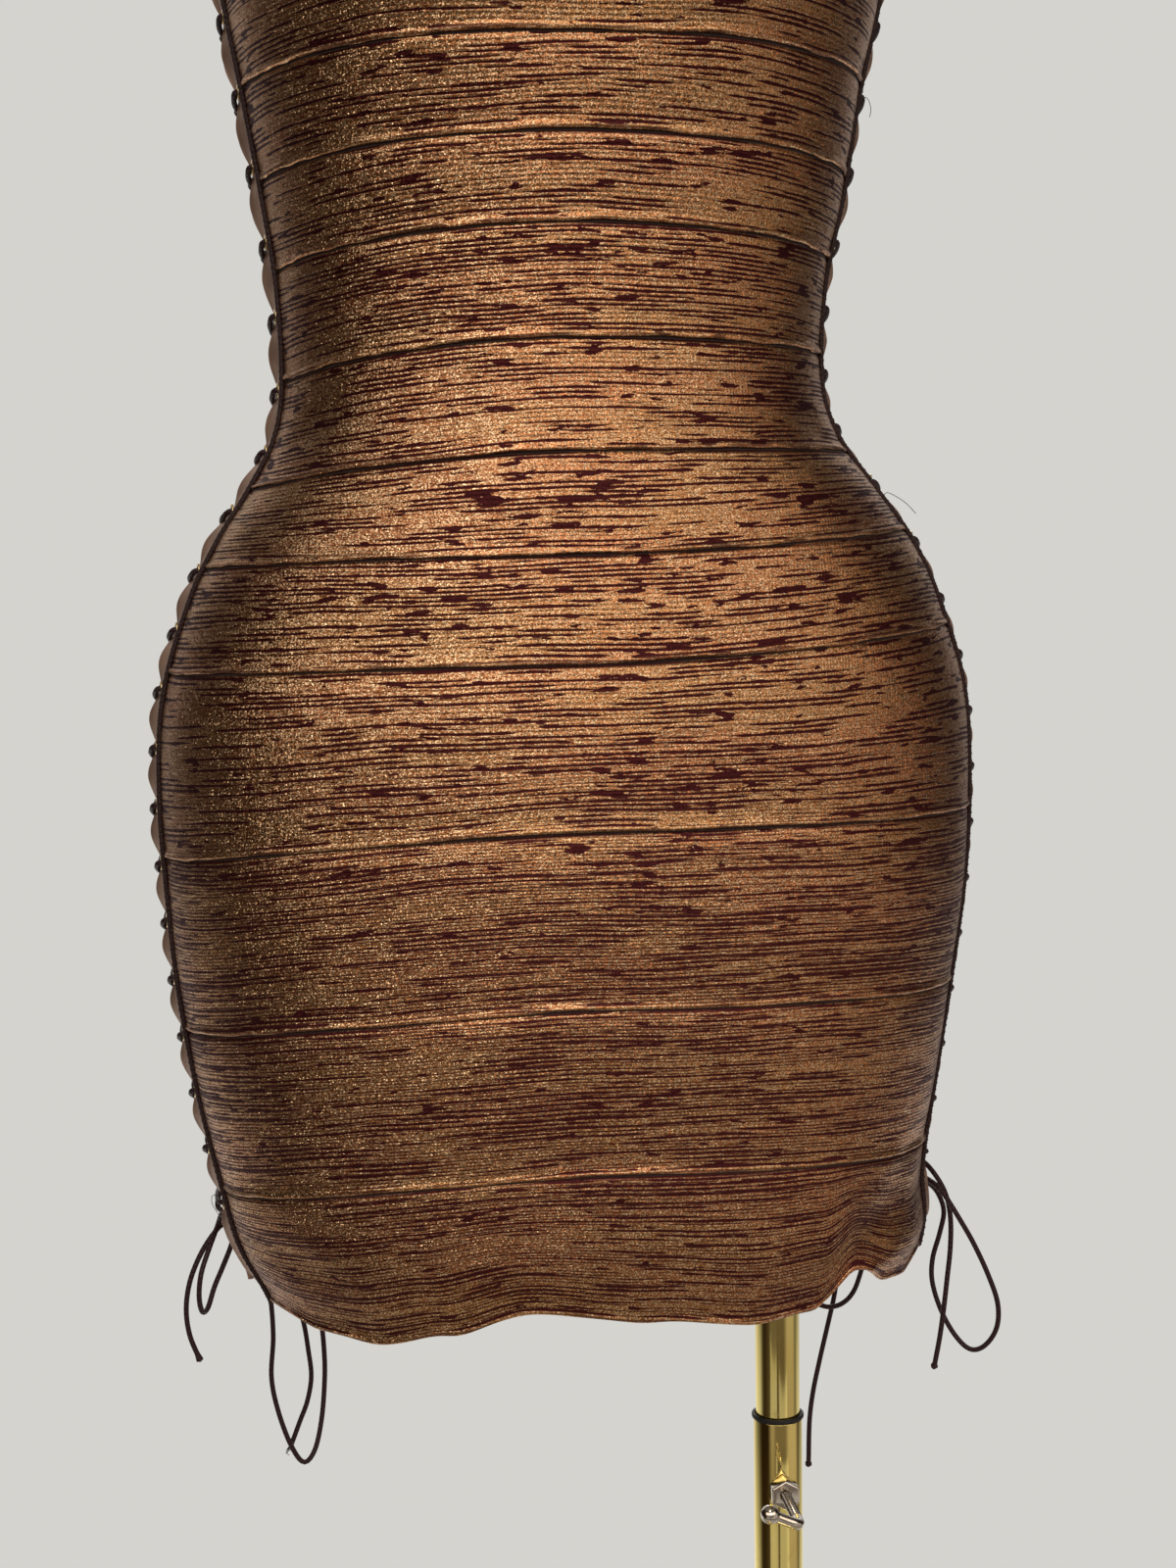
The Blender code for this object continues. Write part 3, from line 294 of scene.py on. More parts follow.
class Wire:
    # a socket that takes part in Python sums
    def __init__(self, kit, socket):
        self.kit = kit
        self.socket = socket

    def join(self, operation, other=0.0, flipped=False):
        pair = (other, self) if flipped else (self, other)
        return self.kit.add("ShaderNodeMath", {"operation": operation}, dict(enumerate(pair)))[0]

    __add__, __radd__ = summed("ADD"), summed("ADD", True)
    __sub__, __rsub__ = summed("SUBTRACT"), summed("SUBTRACT", True)
    __mul__, __rmul__ = summed("MULTIPLY"), summed("MULTIPLY", True)
    __truediv__, __rtruediv__ = summed("DIVIDE"), summed("DIVIDE", True)
    __pow__ = summed("POWER")
    most = summed("MAXIMUM")
    sine = summed("SINE")
    whole = summed("FLOOR")
    part = summed("FRACT")
    size = summed("ABSOLUTE")

    def rise(self, low, high):
        # 0 at low, 1 at high, with a soft start and end
        return self.kit.add("ShaderNodeMapRange", {"interpolation_type": "SMOOTHSTEP"},
                            {"Value": self, "From Min": low, "From Max": high})[0]


class Added:
    # a new node: its outputs by number or name
    def __init__(self, kit, node):
        self.kit = kit
        self.node = node

    def __getitem__(self, key):
        return Wire(self.kit, self.node.outputs[key])


class NodeKit:
    # a tree of nodes: add makes any of them, the rest are short forms of it
    def __init__(self, tree):
        self.tree = tree

    def add(self, kind, settings=None, sockets=None):
        node = self.tree.nodes.new(kind)
        for name, value in (settings or {}).items():
            setattr(node, name, value)
        for name, value in (sockets or {}).items():
            if isinstance(value, Wire):
                self.tree.links.new(value.socket, node.inputs[name])
            else:
                node.inputs[name].default_value = value
        return Added(self, node)

    def split(self, vector):
        parts = self.add("ShaderNodeSeparateXYZ", None, {0: vector})
        return parts[0], parts[1], parts[2]

    def vector(self, x, y, z):
        return self.add("ShaderNodeCombineXYZ", None, {0: x, 1: y, 2: z})[0]

    def arrows(self, operation, first, sockets, output=0):
        return self.add("ShaderNodeVectorMath", {"operation": operation},
                        {0: first, **sockets})[output]

    def scaled(self, vector, amount):
        return self.arrows("SCALE", vector, {"Scale": amount})

    def noise(self, vector, scale=1.0, detail=2.0):
        return self.add("ShaderNodeTexNoise", None,
                        {"Vector": vector, "Scale": scale, "Detail": detail})[0]

    def mix(self, share, first, second):
        # colours, as Wires or as three numbers
        pair = [colour if isinstance(colour, Wire) else (*colour, 1.0)
                for colour in (first, second)]
        return self.add("ShaderNodeMix", {"data_type": "RGBA"},
                        {0: share, 6: pair[0], 7: pair[1]})[2]

    def bump(self, height, distance, strength, normal=None):
        sockets = {"Height": height, "Distance": distance, "Strength": strength}
        if normal:
            sockets["Normal"] = normal
        return self.add("ShaderNodeBump", None, sockets)[0]


class Finish(NodeKit):
    # a material
    def __init__(self, name):
        self.material = bpy.data.materials.new(name)
        self.material.use_nodes = True
        super().__init__(self.material.node_tree)
        self.tree.nodes.clear()

    def place(self):
        return self.add("ShaderNodeTexCoord")["Object"]

    def course(self):
        return self.add("ShaderNodeUVMap", {"uv_map": "course"})["UV"]

    def surface(self, colour, roughness, sockets):
        shader = self.add("ShaderNodeBsdfPrincipled", None,
                          {"Base Color": colour, "Roughness": roughness, **sockets})
        self.add("ShaderNodeOutputMaterial", None, {"Surface": shader[0]})
        return self.material


# the foil knit
foil = {
    "copper": (0.49, 0.192, 0.082),
    "gold": (0.48, 0.222, 0.086),
    "pale": (1.00, 0.735, 0.450),
    "dull": (0.070, 0.022, 0.008),
    # the print's colours, which also paint the shadow under each seam
    "print": (0.056, 0.0112, 0.0125),
    "printLow": (0.078, 0.0170, 0.0190),
    "roughness": 0.26,
    "waistPitch": 0.00195,   # from course to course
    "skirtPitch": 0.00135,
    "rib": 0.55,             # relief of a course and of a loop, in shares of the bump
    "loop": 0.13,
    "loopPitch": 0.00150,
    "flake": 0.00040,        # size of a sparkling flake
    "flakeLean": 0.32,
    "flakeTip": 0.50,        # how much further the few steep flakes lean
    "bump": 0.00018,
    # heights between which the print changes, and between which more dull specks darken the lower
    # foil as painted shade
    "skirtRise": (0.98, 0.80),
    "blotRise": (0.90, 0.80),
    "wearRise": (0.78, 0.66),
}


def foilKnit():
    kit = Finish("copper foil knit")
    along, up = kit.split(kit.course())[:2]
    z = kit.split(kit.place())[2]
    skirt = z.rise(*foil["skirtRise"])
    # ridge is 1 on a band's rolled lower edge and -1 on its tucked top, where a shadow is painted
    ridge = kit.add("ShaderNodeAttribute", {"attribute_name": "ridge"})["Fac"]

    def grain(alongScale, upScale, seed, detail=2.0):
        return kit.noise(kit.vector(along * alongScale, up * upScale, seed), 1.0, detail)

    ragged = grain(420, 1500, 3.1, 3.0) - 0.5
    wander = (grain(9, 26, 1.7, 1.0) - 0.5) * 3.0 + (grain(30, 60, 9.4, 1.0) - 0.5) * 0.7
    patches = grain(7, 60, 4.4, 2.0) - 0.5

    def courses(pitch, seed, runScale, start, thick):
        # dark lines that keep to the courses, taper at their ends and stop at random
        level = up / pitch + wander
        off = (level.part() - 0.5).size()
        row = level.whole() * 5.37      # so far apart that two courses have nothing in common
        run = kit.noise(kit.vector(along * runScale, row, seed), 1.0, 1.0)
        beads = kit.noise(kit.vector(along * 170, row, seed + 3.0), 1.0, 2.0) - 0.5
        strong = (run + patches * 0.30).rise(start, start + 0.10)
        return off, strong * (thick + beads * 0.44 + ragged * 0.24), beads

    off, wide, beads = courses(foil["waistPitch"], 2.2, 25.0, 0.45, 0.300)
    spots = grain(66, 330, 11.2, 1.0) + beads * 0.24 + ragged * 0.20 + patches * 0.25
    blots = (spots - z.rise(*foil["blotRise"]) * 0.045).rise(0.640, 0.690)
    lined = (wide + blots * 0.62 - off).rise(0.0, 0.075)
    fineOff, fineWide = courses(foil["skirtPitch"], 7.9, 34.0, 0.40, 0.24)[:2]
    fined = (fineWide * skirt - fineOff).rise(0.0, 0.09)
    printAndShade = lined.most(fined * 0.9) * (1 - ridge.most(0.0) * 0.30)
    # painted shadow: the top of each band, tucked under the seam above, is darkened in patches as
    # if in shade
    shadow = (ridge * -1).most(0.0) * grain(14, 3, 17.0, 2.0).rise(0.42, 0.56)
    printAndShade = printAndShade.most(shadow)

    cell = kit.vector(along / foil["flake"], up / foil["flake"], 0.5)
    flakes = kit.add("ShaderNodeTexVoronoi", {"voronoi_dimensions": "2D"},
                     {"Vector": cell, "Scale": 1.0})["Color"]
    bright, steep = kit.split(flakes)[::2]
    lean = kit.scaled(kit.arrows("SUBTRACT", flakes, {1: (0.5, 0.5, 0.5)}),
                      foil["flakeLean"] + steep.rise(0.74, 0.94) * foil["flakeTip"])
    normal = kit.add("ShaderNodeNewGeometry")["Normal"]
    tilted = kit.arrows("NORMALIZE", kit.arrows("ADD", normal, {1: lean}), {})

    # painted shade: lower down more of the foil turns to dull specks, darkening the lower skirt
    lowShade = z.rise(*foil["wearRise"]) * 0.035
    pitsAndLowShade = (grain(1300, 2100, 21.0, 1.0) + lowShade).rise(0.52, 0.64)
    pitsAndLowShade = pitsAndLowShade * (1 - ridge.most(0.0) * 0.8)
    tone = grain(9, 40, 14.0, 3.0)
    metal = kit.mix(tone.rise(0.35, 0.65), foil["copper"], foil["gold"])
    metal = kit.mix(bright.rise(0.56, 0.86) * 0.9, metal, foil["pale"])
    metal = kit.mix(pitsAndLowShade * 0.82, metal, foil["dull"])
    # the print's colour, also the colour of the painted shadow under the seams
    inkAndShade = kit.mix(skirt, foil["print"], foil["printLow"])
    colour = kit.mix(printAndShade, metal, inkAndShade)
    # each course stands up like a fine rib, and its loops like beads along it
    ribs, fineRibs = (((up / foil[pitch] + wander) * math.tau + math.pi / 2).sine()
                      for pitch in ("waistPitch", "skirtPitch"))
    ribs = ribs * (1 - skirt) + fineRibs * skirt * 0.53
    loops = (along * (math.tau / foil["loopPitch"])).sine()
    height = grain(900, 1900, 31.0, 2.0) - printAndShade * 0.6 + ribs * foil["rib"]
    height = height + loops * foil["loop"]
    bumped = kit.bump(height, foil["bump"], 0.6, tilted)
    roughness = foil["roughness"] + tone * 0.06 + printAndShade * 0.18
    return kit.surface(colour, roughness,
                       {"Metallic": 0.97 - printAndShade * 0.06, "Normal": bumped,
                        "Specular IOR Level": 0.16})


def knitReverse():
    kit = Finish("unprinted side of the knit")
    along, up = kit.split(kit.course())[:2]
    stitch = (along * 5200.0).sine() * (up * 4100.0).sine()
    cloud = kit.noise(kit.place(), 240.0, 2.0)
    colour = kit.mix(cloud, (0.022, 0.0085, 0.0080), (0.050, 0.0230, 0.0190))
    bumped = kit.bump(stitch * 0.5 + cloud, 0.00015, 0.7)
    return kit.surface(colour, 0.72 + cloud * 0.1,
                       {"Normal": bumped, "Sheen Weight": 0.15})


def placketFoil():
    kit = Finish("plain placket satin")
    along, up = kit.split(kit.course())[:2]
    grain = kit.noise(kit.vector(along * 900, up * 300, 2.0), 1.0, 3.0)
    slub = kit.noise(kit.vector(along * 90, up * 60, 5.0), 1.0, 2.0)
    colour = kit.mix(slub.rise(0.3, 0.7), (0.340, 0.212, 0.158), (0.520, 0.350, 0.260))
    twill = ((along + up) * 5200.0).sine() * 0.5
    bumped = kit.bump(twill * 0.4 + grain, 0.00012, 0.6)
    return kit.surface(colour, 0.40 + grain * 0.16,
                       {"Metallic": 0.55, "Normal": bumped})


def cordFinish(name, base, light, roughness, strands):
    # u runs along the cord in metres, v once round it
    kit = Finish(name)
    along, around = kit.split(kit.course())[:2]
    turns = along * 2600.0
    twist = around * (math.tau * strands)
    braid = (turns + twist).sine().most((turns - twist).sine())
    fuzz = kit.noise(kit.place(), 2400.0, 2.0)
    # painted highlight and shade: the braid's raised strands take the paler colour and the grooves
    # between them the darker one; the fuzz adds random tone
    colour = kit.mix(braid.rise(0.1, 1.0) * 0.6 + fuzz * 0.3, base, light)
    bumped = kit.bump(braid * 0.5 + fuzz * 0.4, 0.00022, 0.7)
    return kit.surface(colour, roughness + fuzz * 0.12,
                       {"Normal": bumped, "Specular IOR Level": 0.30})


def jersey():
    kit = Finish("matt jersey")
    x, y, z = kit.split(kit.place())
    rows = (z * 4200.0).sine()
    wales = ((x + y) * 3600.0).sine()
    cloud = kit.noise(kit.place(), 9.0, 3.0)
    colour = kit.mix(cloud.rise(0.3, 0.7), (0.70, 0.675, 0.63), (0.77, 0.745, 0.70))
    bumped = kit.bump(rows * wales * 0.5 + kit.noise(kit.place(), 1500.0, 2.0),
                      0.00012, 0.5)
    return kit.surface(colour, 0.72 + cloud * 0.08,
                       {"Normal": bumped, "Sheen Weight": 0.25, "Sheen Roughness": 0.4})


def brassFinish():
    kit = Finish("polished brass")
    x, y, z = kit.split(kit.place())
    scratch = kit.noise(kit.vector(x * 1800.0, y * 1800.0, z * 14.0), 1.0, 3.0)
    smear = kit.noise(kit.place(), 30.0, 3.0)
    tarnish = kit.noise(kit.place(), 160.0, 4.0).rise(0.62, 0.78)
    colour = kit.mix(smear.rise(0.3, 0.7), (0.96, 0.78, 0.26), (0.99, 0.84, 0.32))
    colour = kit.mix(tarnish * 0.15, colour, (0.45, 0.31, 0.09))
    bumped = kit.bump(scratch, 0.00004, 0.35)
    return kit.surface(colour, 0.05 + smear * 0.07 + tarnish * 0.10,
                       {"Metallic": 1.0, "Normal": bumped})


def chromeFinish():
    kit = Finish("warm chrome")
    wear = kit.noise(kit.place(), 420.0, 3.0)
    colour = kit.mix(wear.rise(0.35, 0.7), (0.80, 0.75, 0.68), (0.64, 0.55, 0.44))
    bumped = kit.bump(kit.noise(kit.place(), 900.0, 2.0), 0.00003, 0.4)
    return kit.surface(colour, 0.09 + wear * 0.12, {"Metallic": 1.0, "Normal": bumped})


def eyeletFinish():
    kit = Finish("pale gold eyelet")
    wear = kit.noise(kit.place(), 700.0, 3.0)
    colour = kit.mix(wear.rise(0.35, 0.7), (0.88, 0.72, 0.42), (0.66, 0.48, 0.22))
    return kit.surface(colour, 0.18 + wear * 0.14, {"Metallic": 1.0})


def rubberFinish():
    kit = Finish("black rubber")
    grain = kit.noise(kit.place(), 900.0, 2.0)
    colour = kit.mix(grain, (0.005, 0.005, 0.0055), (0.014, 0.0135, 0.0135))
    return kit.surface(colour, 0.46 + grain * 0.18,
                       {"Normal": kit.bump(grain, 0.00008, 0.5)})


finishes = {
    "foil": foilKnit(),
    "reverse": knitReverse(),
    "placket": placketFoil(),
    "piping": cordFinish("dark braided piping", (0.014, 0.0055, 0.0060),
                         (0.045, 0.021, 0.020), 0.46, 3),
    "braid": cordFinish("piping braid stitches", (0.026, 0.0105, 0.0115),
                        (0.13, 0.070, 0.060), 0.38, 1),
    "cord": cordFinish("dark lacing cord", (0.018, 0.0060, 0.0085),
                       (0.052, 0.020, 0.024), 0.36, 4),
    "jersey": jersey(),
    "brass": brassFinish(),
    "chrome": chromeFinish(),
    "eyelet": eyeletFinish(),
    "rubber": rubberFinish(),
}
print("finishes made")


def placed(name, mesh):
    piece = bpy.data.objects.new(name, mesh)
    bpy.context.scene.collection.objects.link(piece)
    return piece


def shapePiece(name, shape, finish, sharp, mesh=None):
    # a bmesh as a piece, smooth but for the edges that turn more than sharp degrees
    mesh = mesh or bpy.data.meshes.new(name)
    shape.to_mesh(mesh)
    shape.free()
    mesh.materials.append(finishes[finish])
    mesh.shade_smooth()
    mesh.set_sharp_from_angle(angle=math.radians(sharp))
    return placed(name, mesh)


def meshPiece(name, points, polygons, finish, courses=None, sharp=45.0):
    # courses: for each polygon the (u, v) of its corners
    mesh = bpy.data.meshes.new(name)
    mesh.from_pydata([tuple(point) for point in points], [], polygons)
    if courses is not None:
        layer = mesh.uv_layers.new(name="course")
        layer.data.foreach_set("uv", np.concatenate(courses).astype(np.float32).ravel())
    shape = bmesh.new()
    shape.from_mesh(mesh)
    bmesh.ops.recalc_face_normals(shape, faces=shape.faces)
    return shapePiece(name, shape, finish, sharp, mesh)


def plainMesh(source):
    # what a piece's modifiers make of it
    bpy.context.view_layer.update()
    solid = source.evaluated_get(bpy.context.evaluated_depsgraph_get())
    return bpy.data.meshes.new_from_object(solid)


def settle(piece, body, slot, *nodes):
    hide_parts(*nodes)
    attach(piece, body)
    return piece


def runsAlong(points):
    # how far along its path each point lies
    return np.concatenate(([0.0], np.cumsum(np.linalg.norm(np.diff(points, axis=0), axis=1))))


def smoothRoute(route, step, tightness=0.0):
    # points every step along a curve through the route's own points
    knots = [Vector(point) for point in route]
    knots = [2 * knots[0] - knots[1]] + knots + [2 * knots[-1] - knots[-2]]
    fine = []
    for a, b, c, d in zip(knots, knots[1:], knots[2:], knots[3:]):
        before, within, after = ((second - first).length ** tightness
                                 for first, second in ((a, b), (b, c), (c, d)))
        leave = within * ((b - a) / before - (c - a) / (before + within) + (c - b) / within)
        arrive = within * ((c - b) / within - (d - b) / (within + after) + (d - c) / after)
        for k in range(16):
            fine.append(eased(k / 16, b, c, leave, arrive))
    fine.append(knots[-2])
    fine = np.array(fine)
    lengths = runsAlong(fine)
    wanted = np.linspace(0.0, lengths[-1], max(3, round(lengths[-1] / step)) + 1)
    return np.column_stack([np.interp(wanted, lengths, fine[:, axis]) for axis in range(3)])


def frames(points, closed):
    # two directions across a path at each of its points, turning as little as they can
    if closed:
        steps = np.roll(points, -1, axis=0) - np.roll(points, 1, axis=0)
    else:
        steps = np.gradient(points, axis=0)
    steps /= np.linalg.norm(steps, axis=1, keepdims=True)
    start = np.array((0.0, 0.0, 1.0)) if abs(steps[0][2]) < 0.9 else np.array((1.0, 0.0, 0.0))
    first = [np.cross(steps[0], start)]
    for step in steps:
        kept = first[-1] - step * np.dot(first[-1], step)
        first.append(kept / np.linalg.norm(kept))
    first = np.array(first[1:])
    return first, np.cross(steps, first), steps


def tubePiece(name, points, radiusAt, finish, sharp=60.0, ring=12, closed=False):
    # a round tube along points; radiusAt(index, angle) gives its surface, u runs along it
    points = np.asarray(points, float)
    first, second, steps = frames(points, closed)
    count = len(points)
    made = []
    for i in range(count):
        for k in range(ring):
            angle = math.tau * k / ring
            made.append(points[i] + radiusAt(i, angle) * (first[i] * math.cos(angle)
                                                          + second[i] * math.sin(angle)))
    runs = runsAlong(points)
    polygons, courses = [], []
    for i in range(count if closed else count - 1):
        j = (i + 1) % count
        for k in range(ring):
            m = (k + 1) % ring
            polygons.append((i * ring + k, i * ring + m, j * ring + m, j * ring + k))
            u = (runs[i], runs[j] if j else runs[i] + 0.001)
            v = (k / ring, (k + 1) / ring)
            courses.append(((u[0], v[0]), (u[0], v[1]), (u[1], v[1]), (u[1], v[0])))
    if not closed:
        for i, order in ((0, 1), (count - 1, -1)):
            tip = points[i] - steps[i] * order * radiusAt(i, 0.0) * 0.6
            made.append(tip)
            for k in range(ring):
                m = (k + 1) % ring
                polygons.append((i * ring + k, i * ring + m, len(made) - 1))
                courses.append(((runs[i], k / ring), (runs[i], (k + 1) / ring),
                                (runs[i], (k + 0.5) / ring)))
    return meshPiece(name, made, polygons, finish, courses, sharp)


def turnedPiece(name, profile, finish, centre=(0.0, 0.0), steps=96, closed=False, sharp=35.0):
    # a profile of (radius, height) rows turned about the upright axis through centre
    made, polygons, rings = [], [], []
    for radius, height in profile:
        if radius < 1e-7:
            made.append((centre[0], centre[1], height))
            rings.append([len(made) - 1] * steps)
            continue
        rings.append(list(range(len(made), len(made) + steps)))
        for k in range(steps):
            angle = math.tau * k / steps
            made.append((centre[0] + radius * math.cos(angle),
                         centre[1] + radius * math.sin(angle), height))
    pairs = list(zip(rings, rings[1:]))
    if closed:
        pairs.append((rings[-1], rings[0]))
    for upper, lower in pairs:
        for k in range(steps):
            m = (k + 1) % steps
            # a ring that is one point gives triangles
            polygons.append(tuple(dict.fromkeys((upper[k], upper[m], lower[m], lower[k]))))
    return meshPiece(name, made, polygons, finish, None, sharp)


def joined(name, pieces):
    # several meshes as one object, keeping their own finishes
    bpy.context.view_layer.update()
    for piece in bpy.context.view_layer.objects:
        piece.select_set(piece in pieces)
    bpy.context.view_layer.objects.active = pieces[0]
    bpy.ops.object.join()
    pieces[0].name = name
    pieces[0].data.name = name
    return pieces[0]


# node trees lay small pieces along a path or on points
def geometryTree(name, inputs):
    tree = bpy.data.node_groups.new(name, "GeometryNodeTree")
    tree.interface.new_socket("Geometry", in_out="INPUT", socket_type="NodeSocketGeometry")
    for label, value in inputs.items():
        socket = tree.interface.new_socket(label, in_out="INPUT",
                                           socket_type="NodeSocketFloat")
        socket.default_value = value
    tree.interface.new_socket("Finish", in_out="INPUT", socket_type="NodeSocketMaterial")
    tree.interface.new_socket("Geometry", in_out="OUTPUT", socket_type="NodeSocketGeometry")
    kit = NodeKit(tree)
    return kit, kit.add("NodeGroupInput")


def finishTree(kit, given, geometry):
    solid = kit.add("GeometryNodeRealizeInstances", None, {0: geometry})[0]
    shaded = kit.add("GeometryNodeSetShadeSmooth", None, {0: solid})[0]
    painted = kit.add("GeometryNodeSetMaterial", None,
                      {"Geometry": shaded, "Material": given["Finish"]})[0]
    kit.add("NodeGroupOutput", None, {0: painted})
    return kit.tree


def braidTree():
    # two rows of stitches wind round a cord in opposite ways and make its chevrons
    kit, given = geometryTree("braid stitches", {"Pitch": 0.00105, "Reach": 0.00105,
                                                 "Long": 0.0015, "Wide": 0.00058,
                                                 "Turn": 1.0, "Lean": 0.7})
    path = kit.add("GeometryNodeMeshToCurve", None, {0: given["Geometry"]})[0]
    spots = kit.add("GeometryNodeCurveToPoints", {"mode": "LENGTH"},
                    {"Curve": path, "Length": given["Pitch"]})
    index = kit.add("GeometryNodeInputIndex")[0]
    bead = kit.add("GeometryNodeMeshIcoSphere", None, {"Radius": 0.5, "Subdivisions": 1})[0]
    size = kit.vector(given["Wide"], given["Wide"], given["Long"])
    bead = kit.add("GeometryNodeTransform", None, {"Geometry": bead, "Scale": size})[0]
    rows = kit.add("GeometryNodeJoinGeometry")

    def rotated(rotation, axis, angle):
        turn = kit.add("FunctionNodeAxisAngleToRotation", None, {"Axis": axis, "Angle": angle})
        return kit.add("FunctionNodeRotateRotation", {"rotation_space": "LOCAL"},
                       {0: rotation, 1: turn[0]})[0]

    for way in (1.0, -1.0):
        for half in (0.0, math.pi):
            spun = rotated(spots["Rotation"], (0.0, 0.0, 1.0),
                           index * given["Turn"] * way + half)
            leant = rotated(spun, (1.0, 0.0, 0.0), given["Lean"] * way)
            arm = kit.vector(given["Reach"], 0.0, 0.0)
            offset = kit.add("FunctionNodeRotateVector", None, {0: arm, 1: spun})[0]
            kept = kit.add("GeometryNodeCaptureAttribute", None, {0: spots["Points"]})
            kept.node.capture_items.new("ROTATION", "Turned")
            kit.tree.links.new(leant.socket, kept.node.inputs[1])
            moved = kit.add("GeometryNodeSetPosition", None,
                            {"Geometry": kept[0], "Offset": offset})[0]
            row = kit.add("GeometryNodeInstanceOnPoints", None,
                          {"Points": moved, "Instance": bead, "Rotation": kept[1]})[0]
            kit.tree.links.new(row.socket, rows.node.inputs[0])
    return finishTree(kit, given, rows[0])


def eyeletTree():
    # a rolled metal ring on each point, facing along the point's own direction
    kit, given = geometryTree("eyelet rings", {"Ring": 0.0027, "Roll": 0.0006, "Flat": 0.75})
    ring, roll = (kit.add("GeometryNodeCurvePrimitiveCircle", None,
                          {"Resolution": steps, "Radius": given[radius]})[0]
                  for steps, radius in ((28, "Ring"), (10, "Roll")))
    eyelet = kit.add("GeometryNodeCurveToMesh", None, {"Curve": ring, "Profile Curve": roll})[0]
    size = kit.vector(1.0, 1.0, given["Flat"])
    eyelet = kit.add("GeometryNodeTransform", None, {"Geometry": eyelet, "Scale": size})[0]
    facing = kit.add("GeometryNodeInputNamedAttribute", {"data_type": "FLOAT_VECTOR"},
                     {"Name": "facing"})[0]
    turned = kit.add("FunctionNodeAlignRotationToVector", {"axis": "Z"}, {"Vector": facing})[0]
    rings = kit.add("GeometryNodeInstanceOnPoints", None,
                    {"Points": given["Geometry"], "Instance": eyelet, "Rotation": turned})[0]
    return finishTree(kit, given, rings)


def grownPiece(name, points, tree, values, linked=True, facings=None):
    # run a tree on a path or on loose points, and keep the result as a plain mesh
    mesh = bpy.data.meshes.new(name)
    edges = [(i, i + 1) for i in range(len(points) - 1)] if linked else []
    mesh.from_pydata([tuple(point) for point in points], edges, [])
    if facings is not None:
        layer = mesh.attributes.new("facing", "FLOAT_VECTOR", "POINT")
        layer.data.foreach_set("vector", np.asarray(facings, np.float32).ravel())
    source = placed(name + "_path", mesh)
    modifier = source.modifiers.new("nodes", "NODES")
    modifier.node_group = tree
    for item in tree.interface.items_tree:
        if item.item_type == "SOCKET" and item.in_out == "INPUT" and item.name in values:
            modifier[item.identifier] = values[item.name]
    made = plainMesh(source)
    source.modifiers.clear()
    bpy.data.objects.remove(source, do_unlink=True)
    made.name = name
    return placed(name, made)


# the bows' cords
cords = {
    "radius": 0.0012,
    "ring": 12,
    "step": 0.0016,
    "knotRadius": 0.0043,
    "laceStart": 0.0006,    # how far off the knot's surface the laces and the bows start
    "bowStart": 0.00075,
    "bowRun": 0.0033,
    "knotReach": -0.0295,   # the knots lie behind the side lines
    "knotOut": 0.0056,
    "knotTurn": math.radians(20),
    "knotHeights": {"left": 0.6860, "right": 0.6905},
    "endKnot": 0.0021,
    "flare": 1.45,          # how much thicker the cut end of a flared tail is
    "flareRun": 0.0034,
    "frayStrands": 14,
    "frayRadius": 0.00042,
    "curlRadius": 0.00016,
}
